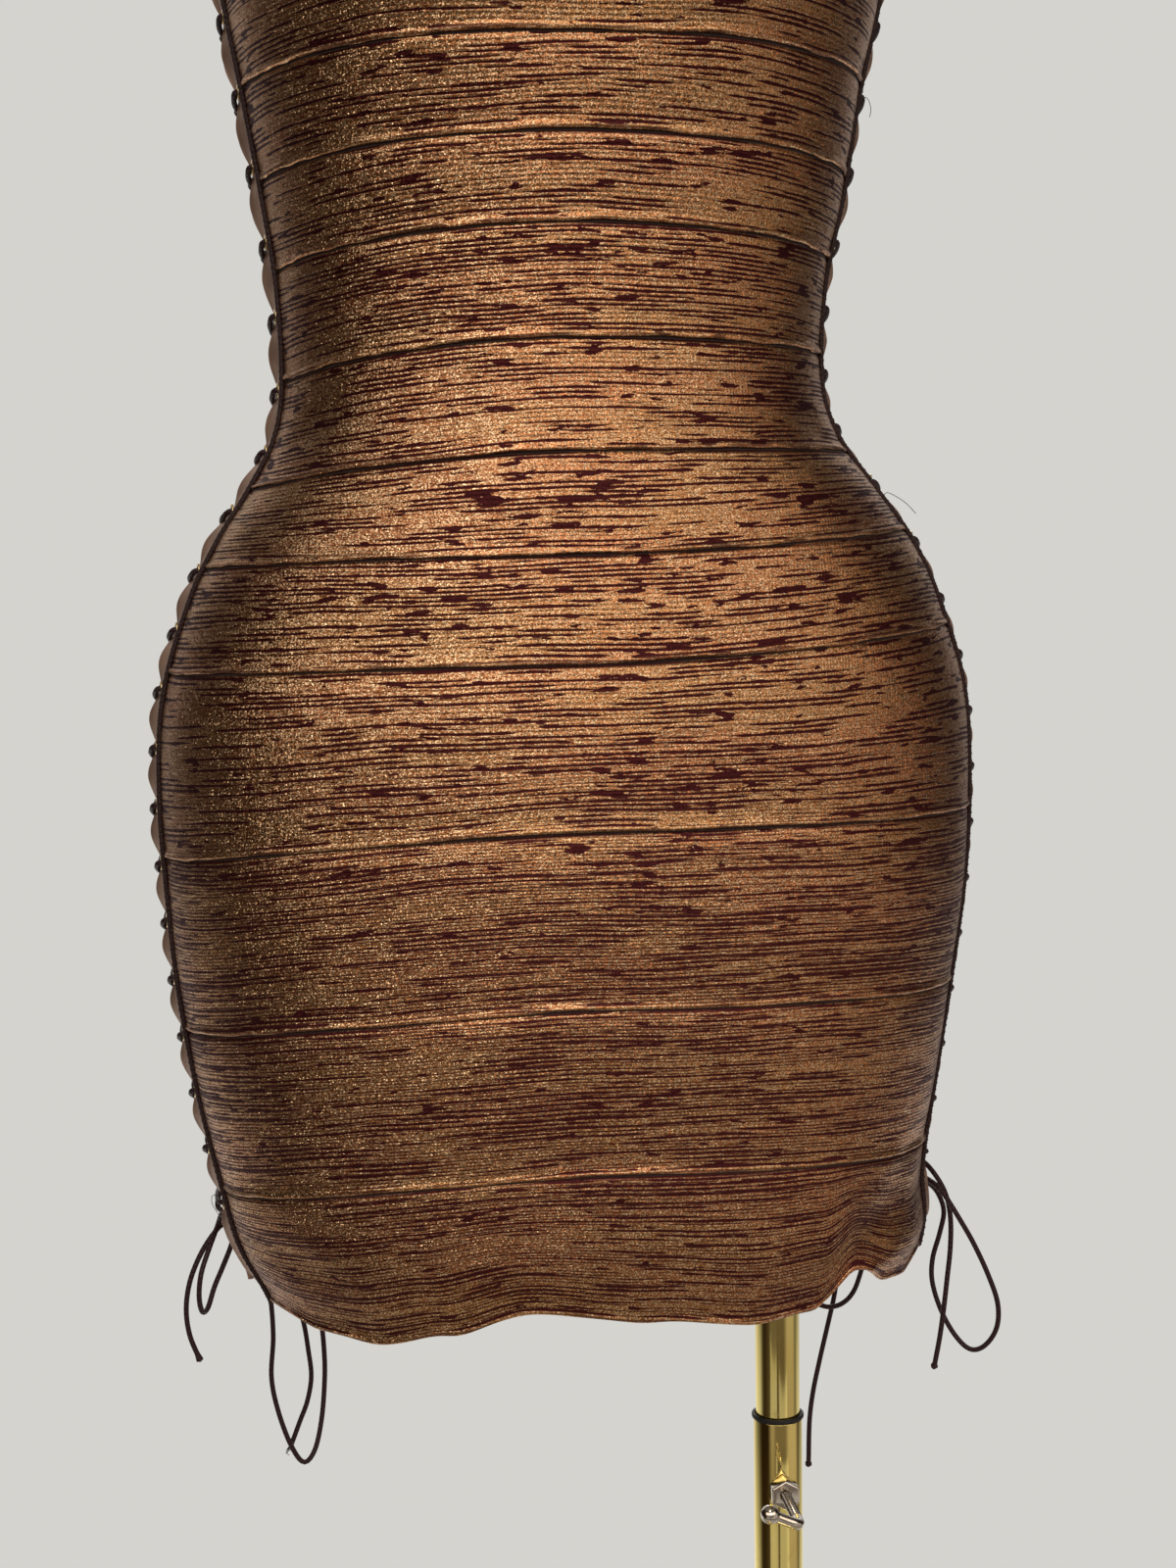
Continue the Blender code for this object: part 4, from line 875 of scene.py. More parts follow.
# leaves and returns are directions off the knot: away from the dress, back, up
BowCord = namedtuple("BowCord", "name side leaves route returns end")
bows = (
    BowCord("bow_left_outer_tail", "left", (0.75, 0.00, -0.66), (
        (-0.1605, 0.0305, 0.6785), (-0.1675, 0.0280, 0.6690), (-0.1730, 0.0265, 0.6565),
        (-0.1752, 0.0260, 0.6435), (-0.1740, 0.0260, 0.6310), (-0.1697, 0.0260, 0.6190),
    ), None, "flared"),
    BowCord("bow_left_outer_loop", "left", (0.80, -0.60, 0.00), (
        (-0.1600, 0.0210, 0.6820), (-0.1635, 0.0140, 0.6740), (-0.1670, 0.0100, 0.6640),
        (-0.1682, 0.0100, 0.6535), (-0.1672, 0.0135, 0.6455), (-0.1650, 0.0190, 0.6455),
        (-0.1620, 0.0225, 0.6540), (-0.1580, 0.0235, 0.6630), (-0.1540, 0.0255, 0.6725),
    ), (0.10, -0.45, -0.88), None),
    BowCord("bow_left_inner_loop", "left", (0.05, 0.62, -0.78), (
        (-0.1470, 0.0440, 0.6745), (-0.1430, 0.0560, 0.6600), (-0.1390, 0.0655, 0.6390),
        (-0.1378, 0.0705, 0.6150), (-0.1392, 0.0720, 0.5938), (-0.1364, 0.0720, 0.5767),
        (-0.1307, 0.0720, 0.5595), (-0.1249, 0.0730, 0.5506), (-0.1196, 0.0750, 0.5554),
        (-0.1161, 0.0780, 0.5687), (-0.1143, 0.0800, 0.5849), (-0.1139, 0.0805, 0.6000),
        (-0.1155, 0.0800, 0.6200), (-0.1210, 0.0770, 0.6450), (-0.1330, 0.0680, 0.6700),
        (-0.1430, 0.0560, 0.6860), (-0.1495, 0.0440, 0.6935),
    ), (0.30, 0.70, 0.65), None),
    BowCord("bow_left_inner_tail", "left", (0.55, 0.80, -0.20), (
        (-0.1535, 0.0450, 0.6815), (-0.1500, 0.0590, 0.6715), (-0.1400, 0.0740, 0.6540),
        (-0.1300, 0.0850, 0.6350), (-0.1242, 0.0885, 0.6168), (-0.1216, 0.0885, 0.5996),
        (-0.1206, 0.0880, 0.5873), (-0.1228, 0.0875, 0.5755), (-0.1266, 0.0870, 0.5658),
        (-0.1308, 0.0865, 0.5550),
    ), None, "frayed"),
    BowCord("bow_right_outer_loop", "right", (0.80, -0.60, 0.00), (
        (0.1685, 0.0235, 0.6905), (0.1730, 0.0180, 0.6875), (0.1765, 0.0160, 0.6825),
        (0.1816, 0.0140, 0.6738), (0.1886, 0.0140, 0.6614), (0.1956, 0.0140, 0.6461),
        (0.2003, 0.0140, 0.6319), (0.2001, 0.0150, 0.6198), (0.1953, 0.0180, 0.6106),
        (0.1894, 0.0220, 0.6078), (0.1833, 0.0260, 0.6133), (0.1772, 0.0290, 0.6248),
        (0.1737, 0.0320, 0.6379), (0.1745, 0.0345, 0.6485), (0.1783, 0.0360, 0.6602),
        (0.1806, 0.0370, 0.6704), (0.1780, 0.0375, 0.6790), (0.1735, 0.0370, 0.6842),
        (0.1685, 0.0362, 0.6862),
    ), (0.85, 0.35, -0.40), None),
    BowCord("bow_right_outer_tail", "right", (0.80, 0.05, 0.60), (
        (0.1688, 0.0330, 0.6965), (0.1735, 0.0270, 0.6915), (0.1783, 0.0250, 0.6822),
        (0.1804, 0.0240, 0.6708), (0.1799, 0.0225, 0.6568), (0.1780, 0.0210, 0.6428),
        (0.1761, 0.0200, 0.6288), (0.1742, 0.0200, 0.6152), (0.1718, 0.0200, 0.6025),
    ), None, "knotted"),
    BowCord("bow_right_inner_tail", "right", (0.15, 0.75, -0.65), (
        (0.1572, 0.0430, 0.6800), (0.1535, 0.0570, 0.6685), (0.1455, 0.0700, 0.6510),
        (0.1390, 0.0770, 0.6330), (0.1356, 0.0785, 0.6156), (0.1323, 0.0785, 0.6016),
        (0.1288, 0.0780, 0.5874), (0.1252, 0.0775, 0.5712), (0.1232, 0.0770, 0.5564),
        (0.1226, 0.0770, 0.5360),
    ), None, "knotted"),
    BowCord("bow_right_inner_loop", "right", (0.05, -0.20, -0.98), (
        (0.1590, 0.0345, 0.6780), (0.1557, 0.0450, 0.6680), (0.1505, 0.0580, 0.6540),
        (0.1478, 0.0660, 0.6370), (0.1441, 0.0695, 0.6235), (0.1381, 0.0705, 0.6170),
        (0.1307, 0.0720, 0.6155), (0.1243, 0.0750, 0.6190), (0.1225, 0.0780, 0.6290),
        (0.1255, 0.0785, 0.6480), (0.1330, 0.0755, 0.6680), (0.1430, 0.0660, 0.6850),
        (0.1545, 0.0500, 0.6955),
    ), (0.25, 0.85, 0.45), None),
)


def knotMiddle(sideName):
    spot = sidePoints(sides[sideName], cords["knotHeights"][sideName],
                      cords["knotReach"], cords["knotOut"])
    return Vector(spot[0])


def atKnot(sideName, shares, distance):
    side, turn = sides[sideName], cords["knotTurn"]
    away = Vector((side * math.cos(turn), math.sin(turn), 0.0))
    back = Vector((-side * math.sin(turn), math.cos(turn), 0.0))
    direction = away * shares[0] + back * shares[1] + Vector((0.0, 0.0, shares[2]))
    return knotMiddle(sideName) + direction.normalized() * distance


def knotPiece(name, middle, size, turned):
    # a cord wound three times through itself and pulled tight
    steps = 96
    inner = size - cords["radius"]
    spin = Euler(turned).to_matrix()
    points = []
    for k in range(steps):
        t = math.tau * k / steps
        loop = Vector((math.sin(t) + 2 * math.sin(2 * t), math.cos(t) - 2 * math.cos(2 * t),
                       -2.2 * math.sin(3 * t))) * (inner / 3.0)
        points.append(middle + spin @ loop)
    thick = min(cords["radius"] * 1.12, size * 0.42)
    return tubePiece(name, points, lambda i, a: thick, "cord", ring=cords["ring"], closed=True)


def frayedEnd(name, tip, direction):
    # the loose strands of a cut end, and one thread that curls away
    draw = random.Random(4)
    strands = []
    for k in range(cords["frayStrands"]):
        spread = Vector((draw.uniform(-1, 1), draw.uniform(-1, 1), draw.uniform(-0.4, 0.2)))
        reach = draw.uniform(0.0020, 0.0036)
        bend = direction * reach + spread * reach * 0.55
        start = tip + spread * 0.0005 - direction * 0.001
        droop = Vector((0.0, 0.0, -reach * 0.12))
        points = smoothRoute((start, start + direction * reach * 0.4, tip + bend + droop), 0.0008)
        last = len(points) - 1
        strands.append(tubePiece(f"{name}_{k}", points,
                                 lambda i, a: cords["frayRadius"] * (1.0 - 0.6 * i / last),
                                 "cord", ring=5))
    curl = [tip + direction * 0.0013 * k
            + Vector((math.sin(k * 1.4), math.cos(k * 1.4), 0.0)) * 0.0007 * min(k, 2)
            for k in range(6)]
    strands.append(tubePiece(name + "_curl", smoothRoute(curl, 0.0006),
                             lambda i, a: cords["curlRadius"], "cord", ring=5))
    return joined(name, strands)


def bowCord(cord):
    start = cords["knotRadius"] + cords["bowStart"]
    run = cords["knotRadius"] + cords["bowRun"]
    route = [atKnot(cord.side, cord.leaves, start), atKnot(cord.side, cord.leaves, run)]
    route += [Vector(point) for point in cord.route]
    if cord.returns:
        route += [atKnot(cord.side, cord.returns, run), atKnot(cord.side, cord.returns, start)]
    points = smoothRoute(route, cords["step"])
    last = len(points) - 1

    def radiusAt(i, angle):
        left = (last - i) * cords["step"]
        if cord.end == "flared" and left < cords["flareRun"]:
            return cords["radius"] * (1 + (cords["flare"] - 1) * (1 - left / cords["flareRun"]))
        return cords["radius"]

    piece = tubePiece(cord.name, points, radiusAt, "cord", ring=cords["ring"])
    tip = Vector(points[-1])
    along = (tip - Vector(points[-3])).normalized()
    if cord.end == "knotted":
        knot = knotPiece(cord.name + "_end_knot", tip + along * cords["endKnot"] * 0.6,
                         cords["endKnot"], (0.4, 0.9, 0.2))
        settle(knot, "figure", "lacing_cord")
    if cord.end == "frayed":
        fray = frayedEnd(cord.name + "_fray", tip, along)
        settle(fray, "figure", "lacing_cord")
    settle(piece, "figure", "lacing_cord", cord.name)


def makeBows():
    for sideName, side in sides.items():
        name = f"bow_knot_{sideName}"
        knot = knotPiece(name + "_tied", knotMiddle(sideName), cords["knotRadius"],
                         (0.3, 1.2 * side, 0.2))
        settle(knot, "figure", "lacing_cord", name)
    for cord in bows:
        bowCord(cord)


makeBows()
print("bows tied")


# the lacing down the open sides
lacing = {
    "eyeletReach": 0.0150,
    "step": 0.0009,
    "rise": 0.0009,         # how far the cloth stands up round an eyelet
    "bossReach": 0.0036,
    "ringRadius": 0.0027, "ringRoll": 0.00062,
    "upper": 8, "upperPitch": 0.031, "upperStart": 1.271,
    "lower": 14, "lowerPitch": 0.025, "lowerStart": 1.028,
    # the right side's lower eyelets sit higher
    "lift": 0.010, "liftTop": 1.130, "liftFade": 0.120,
    # a strand's height over the skin on its way down from eyelet to eyelet, its share of the
    # way down there, and how far past the placket's edge it is
    "outside": 0.0020, "inside": -0.0036, "overTop": 0.0029,
    "overEdge": 0.0024, "overShare": 0.15, "overPast": 0.001,
    "dive": -0.0002, "diveShare": 0.27, "divePast": 0.004,
    "underEdge": -0.0036, "underShare": 0.12, "underShort": 0.001,
    "crossOutside": 0.0002, "crossInside": -0.0029,
    "laceEnds": {"front": (0.15, -0.98, 0.10), "back": (0.05, -0.45, 0.89)},
    # strand, rise above the knot, reach from the side line, height over the skin
    "lastTurns": (("front", 0.0120, 0.0, 0.0045), ("front", 0.0050, -0.0130, 0.0050),
                  ("back", 0.0145, -0.0210, 0.0045)),
}


def eyeletHeights(side):
    heights = [lacing["upperStart"] - lacing["upperPitch"] * k for k in range(lacing["upper"])]
    heights += [lacing["lowerStart"] - lacing["lowerPitch"] * k for k in range(lacing["lower"])]
    if side < 0:
        return heights
    lifted = []
    for height in heights:
        t = min(max((lacing["liftTop"] - height) / lacing["liftFade"], 0.0), 1.0)
        lifted.append(height + lacing["lift"] * t * t * (3 - 2 * t))
    return lifted


def laceStrand(side, face, crossesOutside):
    heights = eyeletHeights(side)
    toward = 1 if face == "front" else -1
    reach, edge = lacing["eyeletReach"], cut["placketInner"]
    crossing = lacing["crossOutside" if crossesOutside else "crossInside"]
    rows = [(heights[0], toward * reach, lacing["inside"])]
    for above, below in zip(heights, heights[1:]):
        drop = below - above
        for share, run, out in (
                (0.0, reach, lacing["outside"]),
                (lacing["overShare"] / 2, (reach + edge) / 2, lacing["overTop"]),
                (lacing["overShare"], edge - lacing["overPast"], lacing["overEdge"]),
                (lacing["diveShare"], edge - lacing["divePast"], lacing["dive"]),
                (0.5, 0.0, crossing)):
            rows.append((above + drop * share, toward * run, out))
        rows.append((below - drop * lacing["underShare"],
                     -toward * (edge + lacing["underShort"]), lacing["underEdge"]))
        rows.append((below, -toward * reach, lacing["inside"]))
        toward = -toward
    rows.append((heights[-1], toward * reach, lacing["outside"]))
    return [Vector(sidePoints(side, height, run, out)[0]) for height, run, out in rows]


def makeLace(sideName):
    side = sides[sideName]
    strands = {face: laceStrand(side, face, face == "front") for face in faces}
    for strand, rise, reach, out in lacing["lastTurns"]:
        level = cords["knotHeights"][sideName] + rise
        strands[strand].append(Vector(sidePoints(side, level, reach, out)[0]))
    for strand, shares in lacing["laceEnds"].items():
        strands[strand].append(atKnot(sideName, shares,
                                      cords["knotRadius"] + cords["laceStart"]))
    route = list(reversed(strands["front"])) + strands["back"]
    points = smoothRoute(route, lacing["step"], 0.5)
    name = f"lace_{sideName}"
    piece = tubePiece(name + "_cord", points, lambda i, a: cords["radius"], "cord", ring=10)
    settle(piece, "figure", "lacing_cord", name)


placketShape = {
    "scallop": 0.0040,
    "edgeRoll": 0.0006,
    # how far the free corner at the hem turns out, and how high up that starts
    "tab": {"front": 0.0, "back": 0.0080},
    "tabHeight": 0.016,
    "rows": 460,
    "columns": 14,
    "topDrop": 0.0020,
    "hemRise": 0.0010,
    "endFade": 0.010,
    "clear": 0.0019,        # radius of the hole under an eyelet ring
}


def makePlacket(face, sideName):
    side = sides[sideName]
    toward = 1 if face == "front" else -1
    eyelets = np.array(eyeletHeights(side))

    def offEyelets(level, reach):
        # distance to the nearest eyelet
        return np.sqrt((level[..., None] - eyelets) ** 2
                       + (reach[..., None] - lacing["eyeletReach"]) ** 2).min(axis=-1)

    top = float(seamHeights(face, 0, side)) - placketShape["topDrop"]
    bottom = float(seamHeights(face, bandCount, side)) + placketShape["hemRise"]
    rows, columns = placketShape["rows"], placketShape["columns"]
    levels = np.linspace(top, bottom, rows + 1)
    shares = np.linspace(0.0, 1.0, columns + 1)
    marks = np.concatenate(([eyelets[0] + lacing["upperPitch"] / 2],
                            (eyelets[:-1] + eyelets[1:]) / 2,
                            [eyelets[-1] - lacing["lowerPitch"] / 2]))
    # the laced edge is pulled in at the eyelets and bulges between them
    nearest = np.abs(levels[:, None] - eyelets[None, :]).min(axis=1)
    pitch = np.interp(levels, marks[::-1], [lacing["lowerPitch"]] * (lacing["lower"] + 1)
                      + [lacing["upperPitch"]] * lacing["upper"])
    bulge = np.sin(np.clip(nearest / (pitch / 2), 0.0, 1.0) * math.pi / 2) ** 1.5
    fade = placketShape["endFade"]
    bulge *= np.clip((top - levels) / fade, 0, 1) * np.clip((levels - bottom) / fade, 0, 1)
    height = np.repeat(levels, columns + 1)
    share = np.tile(shares, rows + 1)
    reach = cut["placketInner"] + (cut["placketOuter"] - cut["placketInner"]) * share
    lift = placketShape["scallop"] * np.repeat(bulge, columns + 1) * (1 - share) ** 1.6
    tab = np.clip(1 - (height - bottom) / placketShape["tabHeight"], 0, 1) ** 1.3
    lift = lift + placketShape["tab"][face] * tab * (1 - share) ** 0.8
    lip = placketShape["edgeRoll"] * np.exp(-((share - 0.06) / 0.07) ** 2)
    boss = lacing["rise"] * np.clip(1.6 - offEyelets(height, reach) / lacing["bossReach"],
                                    0.0, 1.0)
    outer = sidePoints(side, height, toward * reach, lift + lip + boss)
    inner = sidePoints(side, height, toward * reach,
                       lift - cut["placket"] + 0.0003 * (share < 0.02))
    points = np.concatenate((outer, inner))
    wide, layer = columns + 1, len(outer)
    centreLevel = (levels[:-1] + levels[1:]) / 2
    centreReach = (reach[:columns] + reach[1:wide]) / 2
    gone = offEyelets(centreLevel[:, None], centreReach) < placketShape["clear"]
    polygons, courses = [], []

    def addFace(*corners):
        polygons.append(corners)
        courses.append([(reach[i % layer], height[i % layer]) for i in corners])

    for i in range(rows):
        for j in range(columns):
            if gone[i, j]:
                continue
            a = i * wide + j
            addFace(a, a + 1, a + 1 + wide, a + wide)
            addFace(a + layer, a + wide + layer, a + 1 + wide + layer, a + 1 + layer)
            around = ((i - 1, j, a, a + 1), (i + 1, j, a + wide + 1, a + wide),
                      (i, j - 1, a + wide, a), (i, j + 1, a + 1, a + wide + 1))
            for row, column, b, c in around:
                outside = not (0 <= row < rows and 0 <= column < columns)
                if outside or gone[row, column]:
                    addFace(b, c, c + layer, b + layer)
    node = f"eyelet_placket_{face}_{sideName}"
    piece = meshPiece(node + "_strip", points, polygons, "placket", courses, 50.0)
    settle(piece, "figure", "foil_placket", node)
    spots = sidePoints(side, eyelets, toward * lacing["eyeletReach"], lacing["rise"] + 0.0001)
    facings = sidePoints(side, eyelets, toward * lacing["eyeletReach"], 0.02) - spots
    rings = grownPiece(f"eyelets_{face}_{sideName}", spots, trees["eyelets"],
                       {"Ring": lacing["ringRadius"], "Roll": lacing["ringRoll"],
                        "Finish": finishes["eyelet"]}, False, facings)
    settle(rings, "figure", "polished_brass")


def makePiping(face, sideName):
    side = sides[sideName]
    toward = 1 if face == "front" else -1
    levels = np.linspace(float(seamHeights(face, 0, side)),
                         float(seamHeights(face, bandCount, side)), 260)
    points = sidePoints(side, levels, toward * cut["pipingReach"], cut["pipingOut"])
    node = f"piping_{face}_{sideName}"
    core = tubePiece(node + "_core", points, lambda i, a: cut["pipingRadius"] * 0.9,
                     "piping", ring=8)
    stitches = grownPiece(node + "_stitches", points, trees["braid"],
                          {"Finish": finishes["braid"]})
    settle(joined(node + "_braid", [core, stitches]), "figure", "dark_piping", node)


threads = (
    # side, height where a thread leaves the braid, then each bend: rise, reach, height out
    ("right", 1.176, ((0.0015, -0.008, 0.0045), (-0.0015, -0.014, 0.0075),
                      (-0.0050, -0.016, 0.0080))),
    ("right", 1.006, ((0.0020, -0.008, 0.0050), (-0.0020, -0.014, 0.0100),
                      (-0.0070, -0.016, 0.0115))),
    ("left", 0.706, ((0.0005, -0.008, 0.0045), (-0.0045, -0.013, 0.0060),
                     (-0.0100, -0.014, 0.0045))),
)


def makeThreads():
    # loose sewing threads that stick out beside the laced edges
    for k, (sideName, level, bends) in enumerate(threads):
        side = sides[sideName]
        route = [sidePoints(side, level, cut["pipingReach"], cut["pipingOut"])[0]]
        route += [sidePoints(side, level + rise, cut["pipingReach"] + reach, out)[0]
                  for rise, reach, out in bends]
        points = smoothRoute([Vector(point) for point in route], 0.0008)
        thread = tubePiece(f"loose_thread_{k}", points, lambda i, a: 0.00015, "cord", ring=5)
        settle(thread, "figure", "dark_piping")


trees = {"braid": braidTree(), "eyelets": eyeletTree()}
for lacedSide in sides:
    makeLace(lacedSide)
    for panelFace in faces:
        makePlacket(panelFace, lacedSide)
        makePiping(panelFace, lacedSide)
makeThreads()
print("sides laced")


# the knit bands
bands = {
    "columns": 190,
    "bodyRows": 9,
    "backRows": 3,
    "ripple": 0.00022,      # unevenness of a sewn edge
    "puff": 0.00035,
    # where the knit's pattern starts, so that no two bands repeat each other
    "backStart": 3.0,
    "bandStart": 0.31,
}
# distance from the band's lower edge and height of its face over the skin, going round
# the rolled edge from the face to the back
rolledEdge = ((0.0042, 0.0001), (0.0029, 0.0002), (0.0020, 0.0005), (0.0013, 0.0009),
              (0.0007, 0.0009), (0.0002, 0.0005), (0.0000, 0.0000), (0.0003, -0.0005),
              (0.0014, -0.0007), (0.0024, -0.0012), (0.0038, -0.0016))
# distance below the seam and height over the skin of the tucked top, from the back round
tuckedTop = ((0.0020, -0.0016), (-0.0010, -0.0016), (-0.0012, -0.0013), (-0.0010, -0.0010),
             (0.0000, -0.0009), (0.0005, -0.0006), (0.0010, -0.0002), (0.0020, 0.0001))
freeTop = ((0.0020, -0.0016), (0.0004, -0.0015), (0.0000, -0.0007), (0.0003, 0.0003),
           (0.0010, 0.0006), (0.0020, 0.0004), (0.0034, 0.0001))
# each crease: place across the panel, height, length, width, depth (a ridge if positive), tilt
creases = {
    "front": (
        (0.80, 0.694, 0.064, 0.0085, -0.0030, 0.26),
        (0.83, 0.6790, 0.060, 0.0050, 0.0024, 0.17),
        (0.90, 0.716, 0.045, 0.009, -0.0012, 0.70),
        (-0.80, 0.684, 0.060, 0.009, -0.0022, -0.22),
        (-0.66, 0.672, 0.070, 0.008, 0.0018, -0.12),
        (0.10, 0.684, 0.080, 0.010, -0.0012, 0.10),
        (-0.25, 0.692, 0.060, 0.009, 0.0010, -0.05),
        (-0.86, 1.035, 0.040, 0.008, -0.0010, 0.50),
        (0.88, 1.030, 0.036, 0.009, -0.0009, -0.55),
        (-0.60, 1.120, 0.070, 0.010, -0.0007, -0.12),
        (0.55, 1.080, 0.060, 0.009, -0.0006, 0.10),
    ),
    "back": (
        (-0.80, 0.690, 0.060, 0.010, -0.0024, -0.40),
        (0.78, 0.694, 0.055, 0.009, -0.0022, 0.45),
        (0.05, 0.690, 0.080, 0.011, 0.0016, 0.04),
        (-0.40, 1.060, 0.075, 0.008, -0.0014, 0.10),
        (0.42, 1.045, 0.068, 0.009, -0.0013, -0.12),
        (0.05, 1.078, 0.080, 0.010, -0.0011, 0.02),
        (0.85, 1.000, 0.040, 0.008, -0.0010, -0.50),
    ),
}


def creaseDepth(face, places, heights, halfWidth):
    # soft troughs and ridges, each longer along its own tilt than across it
    total = np.zeros_like(heights)
    for place, height, length, width, depth, tilt in creases[face]:
        sideways = (places - place) * halfWidth
        upward = heights - height
        along = sideways * math.cos(tilt) + upward * math.sin(tilt)
        across = upward * math.cos(tilt) - sideways * math.sin(tilt)
        across = across + 0.12 * along ** 2 / length
        total += depth * np.exp(-(along / (length / 2)) ** 2 - (across / width) ** 2)
    return total


def bandProfile(face, index, across, top, bottom):
    # rows round a band from its tucked top down the face, round its edge and up the back:
    # heights, heights over the skin, hidden or not, how far it is a ridge, or, if negative, where
    # a shadow is painted
    phase = index * 1.7 + (0.0 if face == "front" else 2.3)
    wave = (np.sin(across * 31 + phase) + 0.6 * np.sin(across * 67 + 2.1 * phase)
            + 0.5 * np.sin(across * 113 + 0.7 * phase)) * bands["ripple"]
    level = np.ones_like(across)
    first = tuckedTop if index else freeTop
    # -1 marks the tucked top just under the seam above, where the foil shader paints a shadow
    profile = [(top - drop, out * level, out < -0.0007, -1.0 if index and drop < 0.0015 else 0.0)
               for drop, out in first]
    start, end = first[-1][0], rolledEdge[0][0]
    for k in range(1, bands["bodyRows"] + 1):
        share = k / (bands["bodyRows"] + 1)
        height = (top - start) + ((bottom + end) - (top - start)) * share
        puff = 0.0001 + bands["puff"] * math.sin(math.pi * share)
        profile.append((height, puff * level, False, 0.0))
    for rise, out in rolledEdge:
        profile.append((bottom + rise + wave * (out > -0.0003), out + wave * 0.7 * (out > 0.0002),
                        out < -0.0006, float(rise < 0.0015)))
    low, high = bottom + rolledEdge[-1][0], top - first[0][0]
    for k in range(1, bands["backRows"] + 1):
        share = k / (bands["backRows"] + 1)
        profile.append((low + (high - low) * share, -cut["cloth"] * level, True, 0.0))
    return profile


def makeBand(face, index):
    columns = bands["columns"]
    wide = columns + 1
    across = np.linspace(0.0, 1.0, wide)
    places = np.cos(math.pi * across)
    top = seamHeights(face, index, places) - cut["gap"] / 2
    bottom = seamHeights(face, index + 1, places) + cut["gap"] / 2
    levels, outs, unseen, ridgeAndShadeMarks = zip(*bandProfile(face, index, across, top, bottom))
    count = len(levels)
    heights = np.concatenate(levels)
    tiled = np.tile(across, count)
    runs = panelRuns(face, heights, tiled)
    half = halfLengths(face, heights)
    outs = np.concatenate(outs) + creaseDepth(face, np.cos(math.pi * tiled), heights, half / 2)
    points = skinPoints(face, heights, runs, outs)
    middleTop, middleBottom = float(top[columns // 2]), float(bottom[columns // 2])
    rowShare = (np.tile(top, count) - heights) / np.tile(top - bottom, count)
    u = runs - half / 2 + (0.0 if face == "front" else bands["backStart"])
    v = middleTop - (middleTop - middleBottom) * rowShare + index * bands["bandStart"]
    polygons = []
    for i in range(count):
        j = (i + 1) % count
        polygons += [(i * wide + k, i * wide + k + 1, j * wide + k + 1, j * wide + k)
                     for k in range(columns)]
    polygons += [tuple(i * wide + end for i in range(count)) for end in (0, columns)]
    courses = [[(u[corner], v[corner]) for corner in polygon] for polygon in polygons]
    node = f"{face}_band_{index + 1:02d}"
    piece = meshPiece(node + "_knit", points, polygons, "foil", courses, 70.0)
    piece.data.materials.append(finishes["reverse"])
    # 1 on the rolled edge, -1 where the foil shader paints the shadow under the seam
    layer = piece.data.attributes.new("ridge", "FLOAT", "POINT")
    layer.data.foreach_set("value", np.repeat(ridgeAndShadeMarks, wide))
    hidden = {i for i in range(count) if unseen[i] or unseen[(i + 1) % count]}
    for i, polygon in enumerate(piece.data.polygons):
        polygon.material_index = int(i // columns in hidden or i >= count * columns)
    settle(piece, "figure", "copper_foil_knit", node)


for panelFace in faces:
    for bandIndex in range(bandCount):
        makeBand(panelFace, bandIndex)
print("bands knitted")


# the dress form: height, depth of the form under the skin
formRows = (
    (0.7350, 0.0120), (0.7385, 0.0062), (0.7450, 0.0042), (0.8000, 0.0032), (0.8500, 0.0032),
    (0.8950, 0.0034), (0.9400, 0.0040), (0.9750, 0.0042), (1.0000, 0.0044), (1.0300, 0.0052),
    (1.0700, 0.0048), (1.1100, 0.0044), (1.1500, 0.0042), (1.2000, 0.0040), (1.2500, 0.0027),
    (1.3000, 0.0028), (1.3600, 0.0024), (1.4000, 0.0022), (1.5000, 0.0022), (1.5300, 0.0028),
    (1.5350, 0.0052),
)
form = {
    "sideInset": 0.0088,    # it lies deeper behind the open sides
    "flatRun": 0.004, "fadeRun": 0.040,
    "rowStep": 0.0055,
    "columns": 96,          # on each half
    "socketDepth": 0.120,
    "socketRadius": 0.0105,
    "dome": 0.0035,
}
stand = {
    "mastX": 0.093, "mastRadius": 0.0101, "mastWall": 0.0012, "mastBottom": 0.250,
    "mastCap": 0.003,
    "tubeBore": 0.0104, "tubeRadius": 0.0111, "tubeTop": 0.5880,
    "ringHeight": 0.0021, "ringRadius": 0.0119,
    "baseRadius": 0.205, "baseThickness": 0.006,
    "flangeRadius": 0.026, "flangeHeight": 0.022, "flangeEdge": 0.0030, "flangeNeck": 0.0040,
    "clampHeight": 0.558, "nutRadius": 0.0072, "nutDepth": 0.0080,
    "screwRadius": 0.0025, "boreDepth": 0.030, "elbow": 0.053, "bend": 0.005,
    "leverEnd": (-0.0135, 0.0060), "ballRadius": 0.0042,
    "threadPitch": 0.0010, "threadDepth": 0.00050, "threadEnd": 0.0445,
}


def formRing(height, inset):
    columns = form["columns"]
    ring = []
    for face in faces:
        length = float(halfLengths(face, [height])[0])
        share = np.arange(columns) / columns
        if face == "back":
            share = 1 - share
        near = np.minimum(share, 1 - share) * length
        t = np.clip((near - form["flatRun"]) / form["fadeRun"], 0.0, 1.0)
        depth = (max(form["sideInset"], inset) * (1 - t * t * (3 - 2 * t))
                 + inset * t * t * (3 - 2 * t))
        ring.extend(skinPoints(face, np.full(columns, height), share * length, -depth))
    return ring


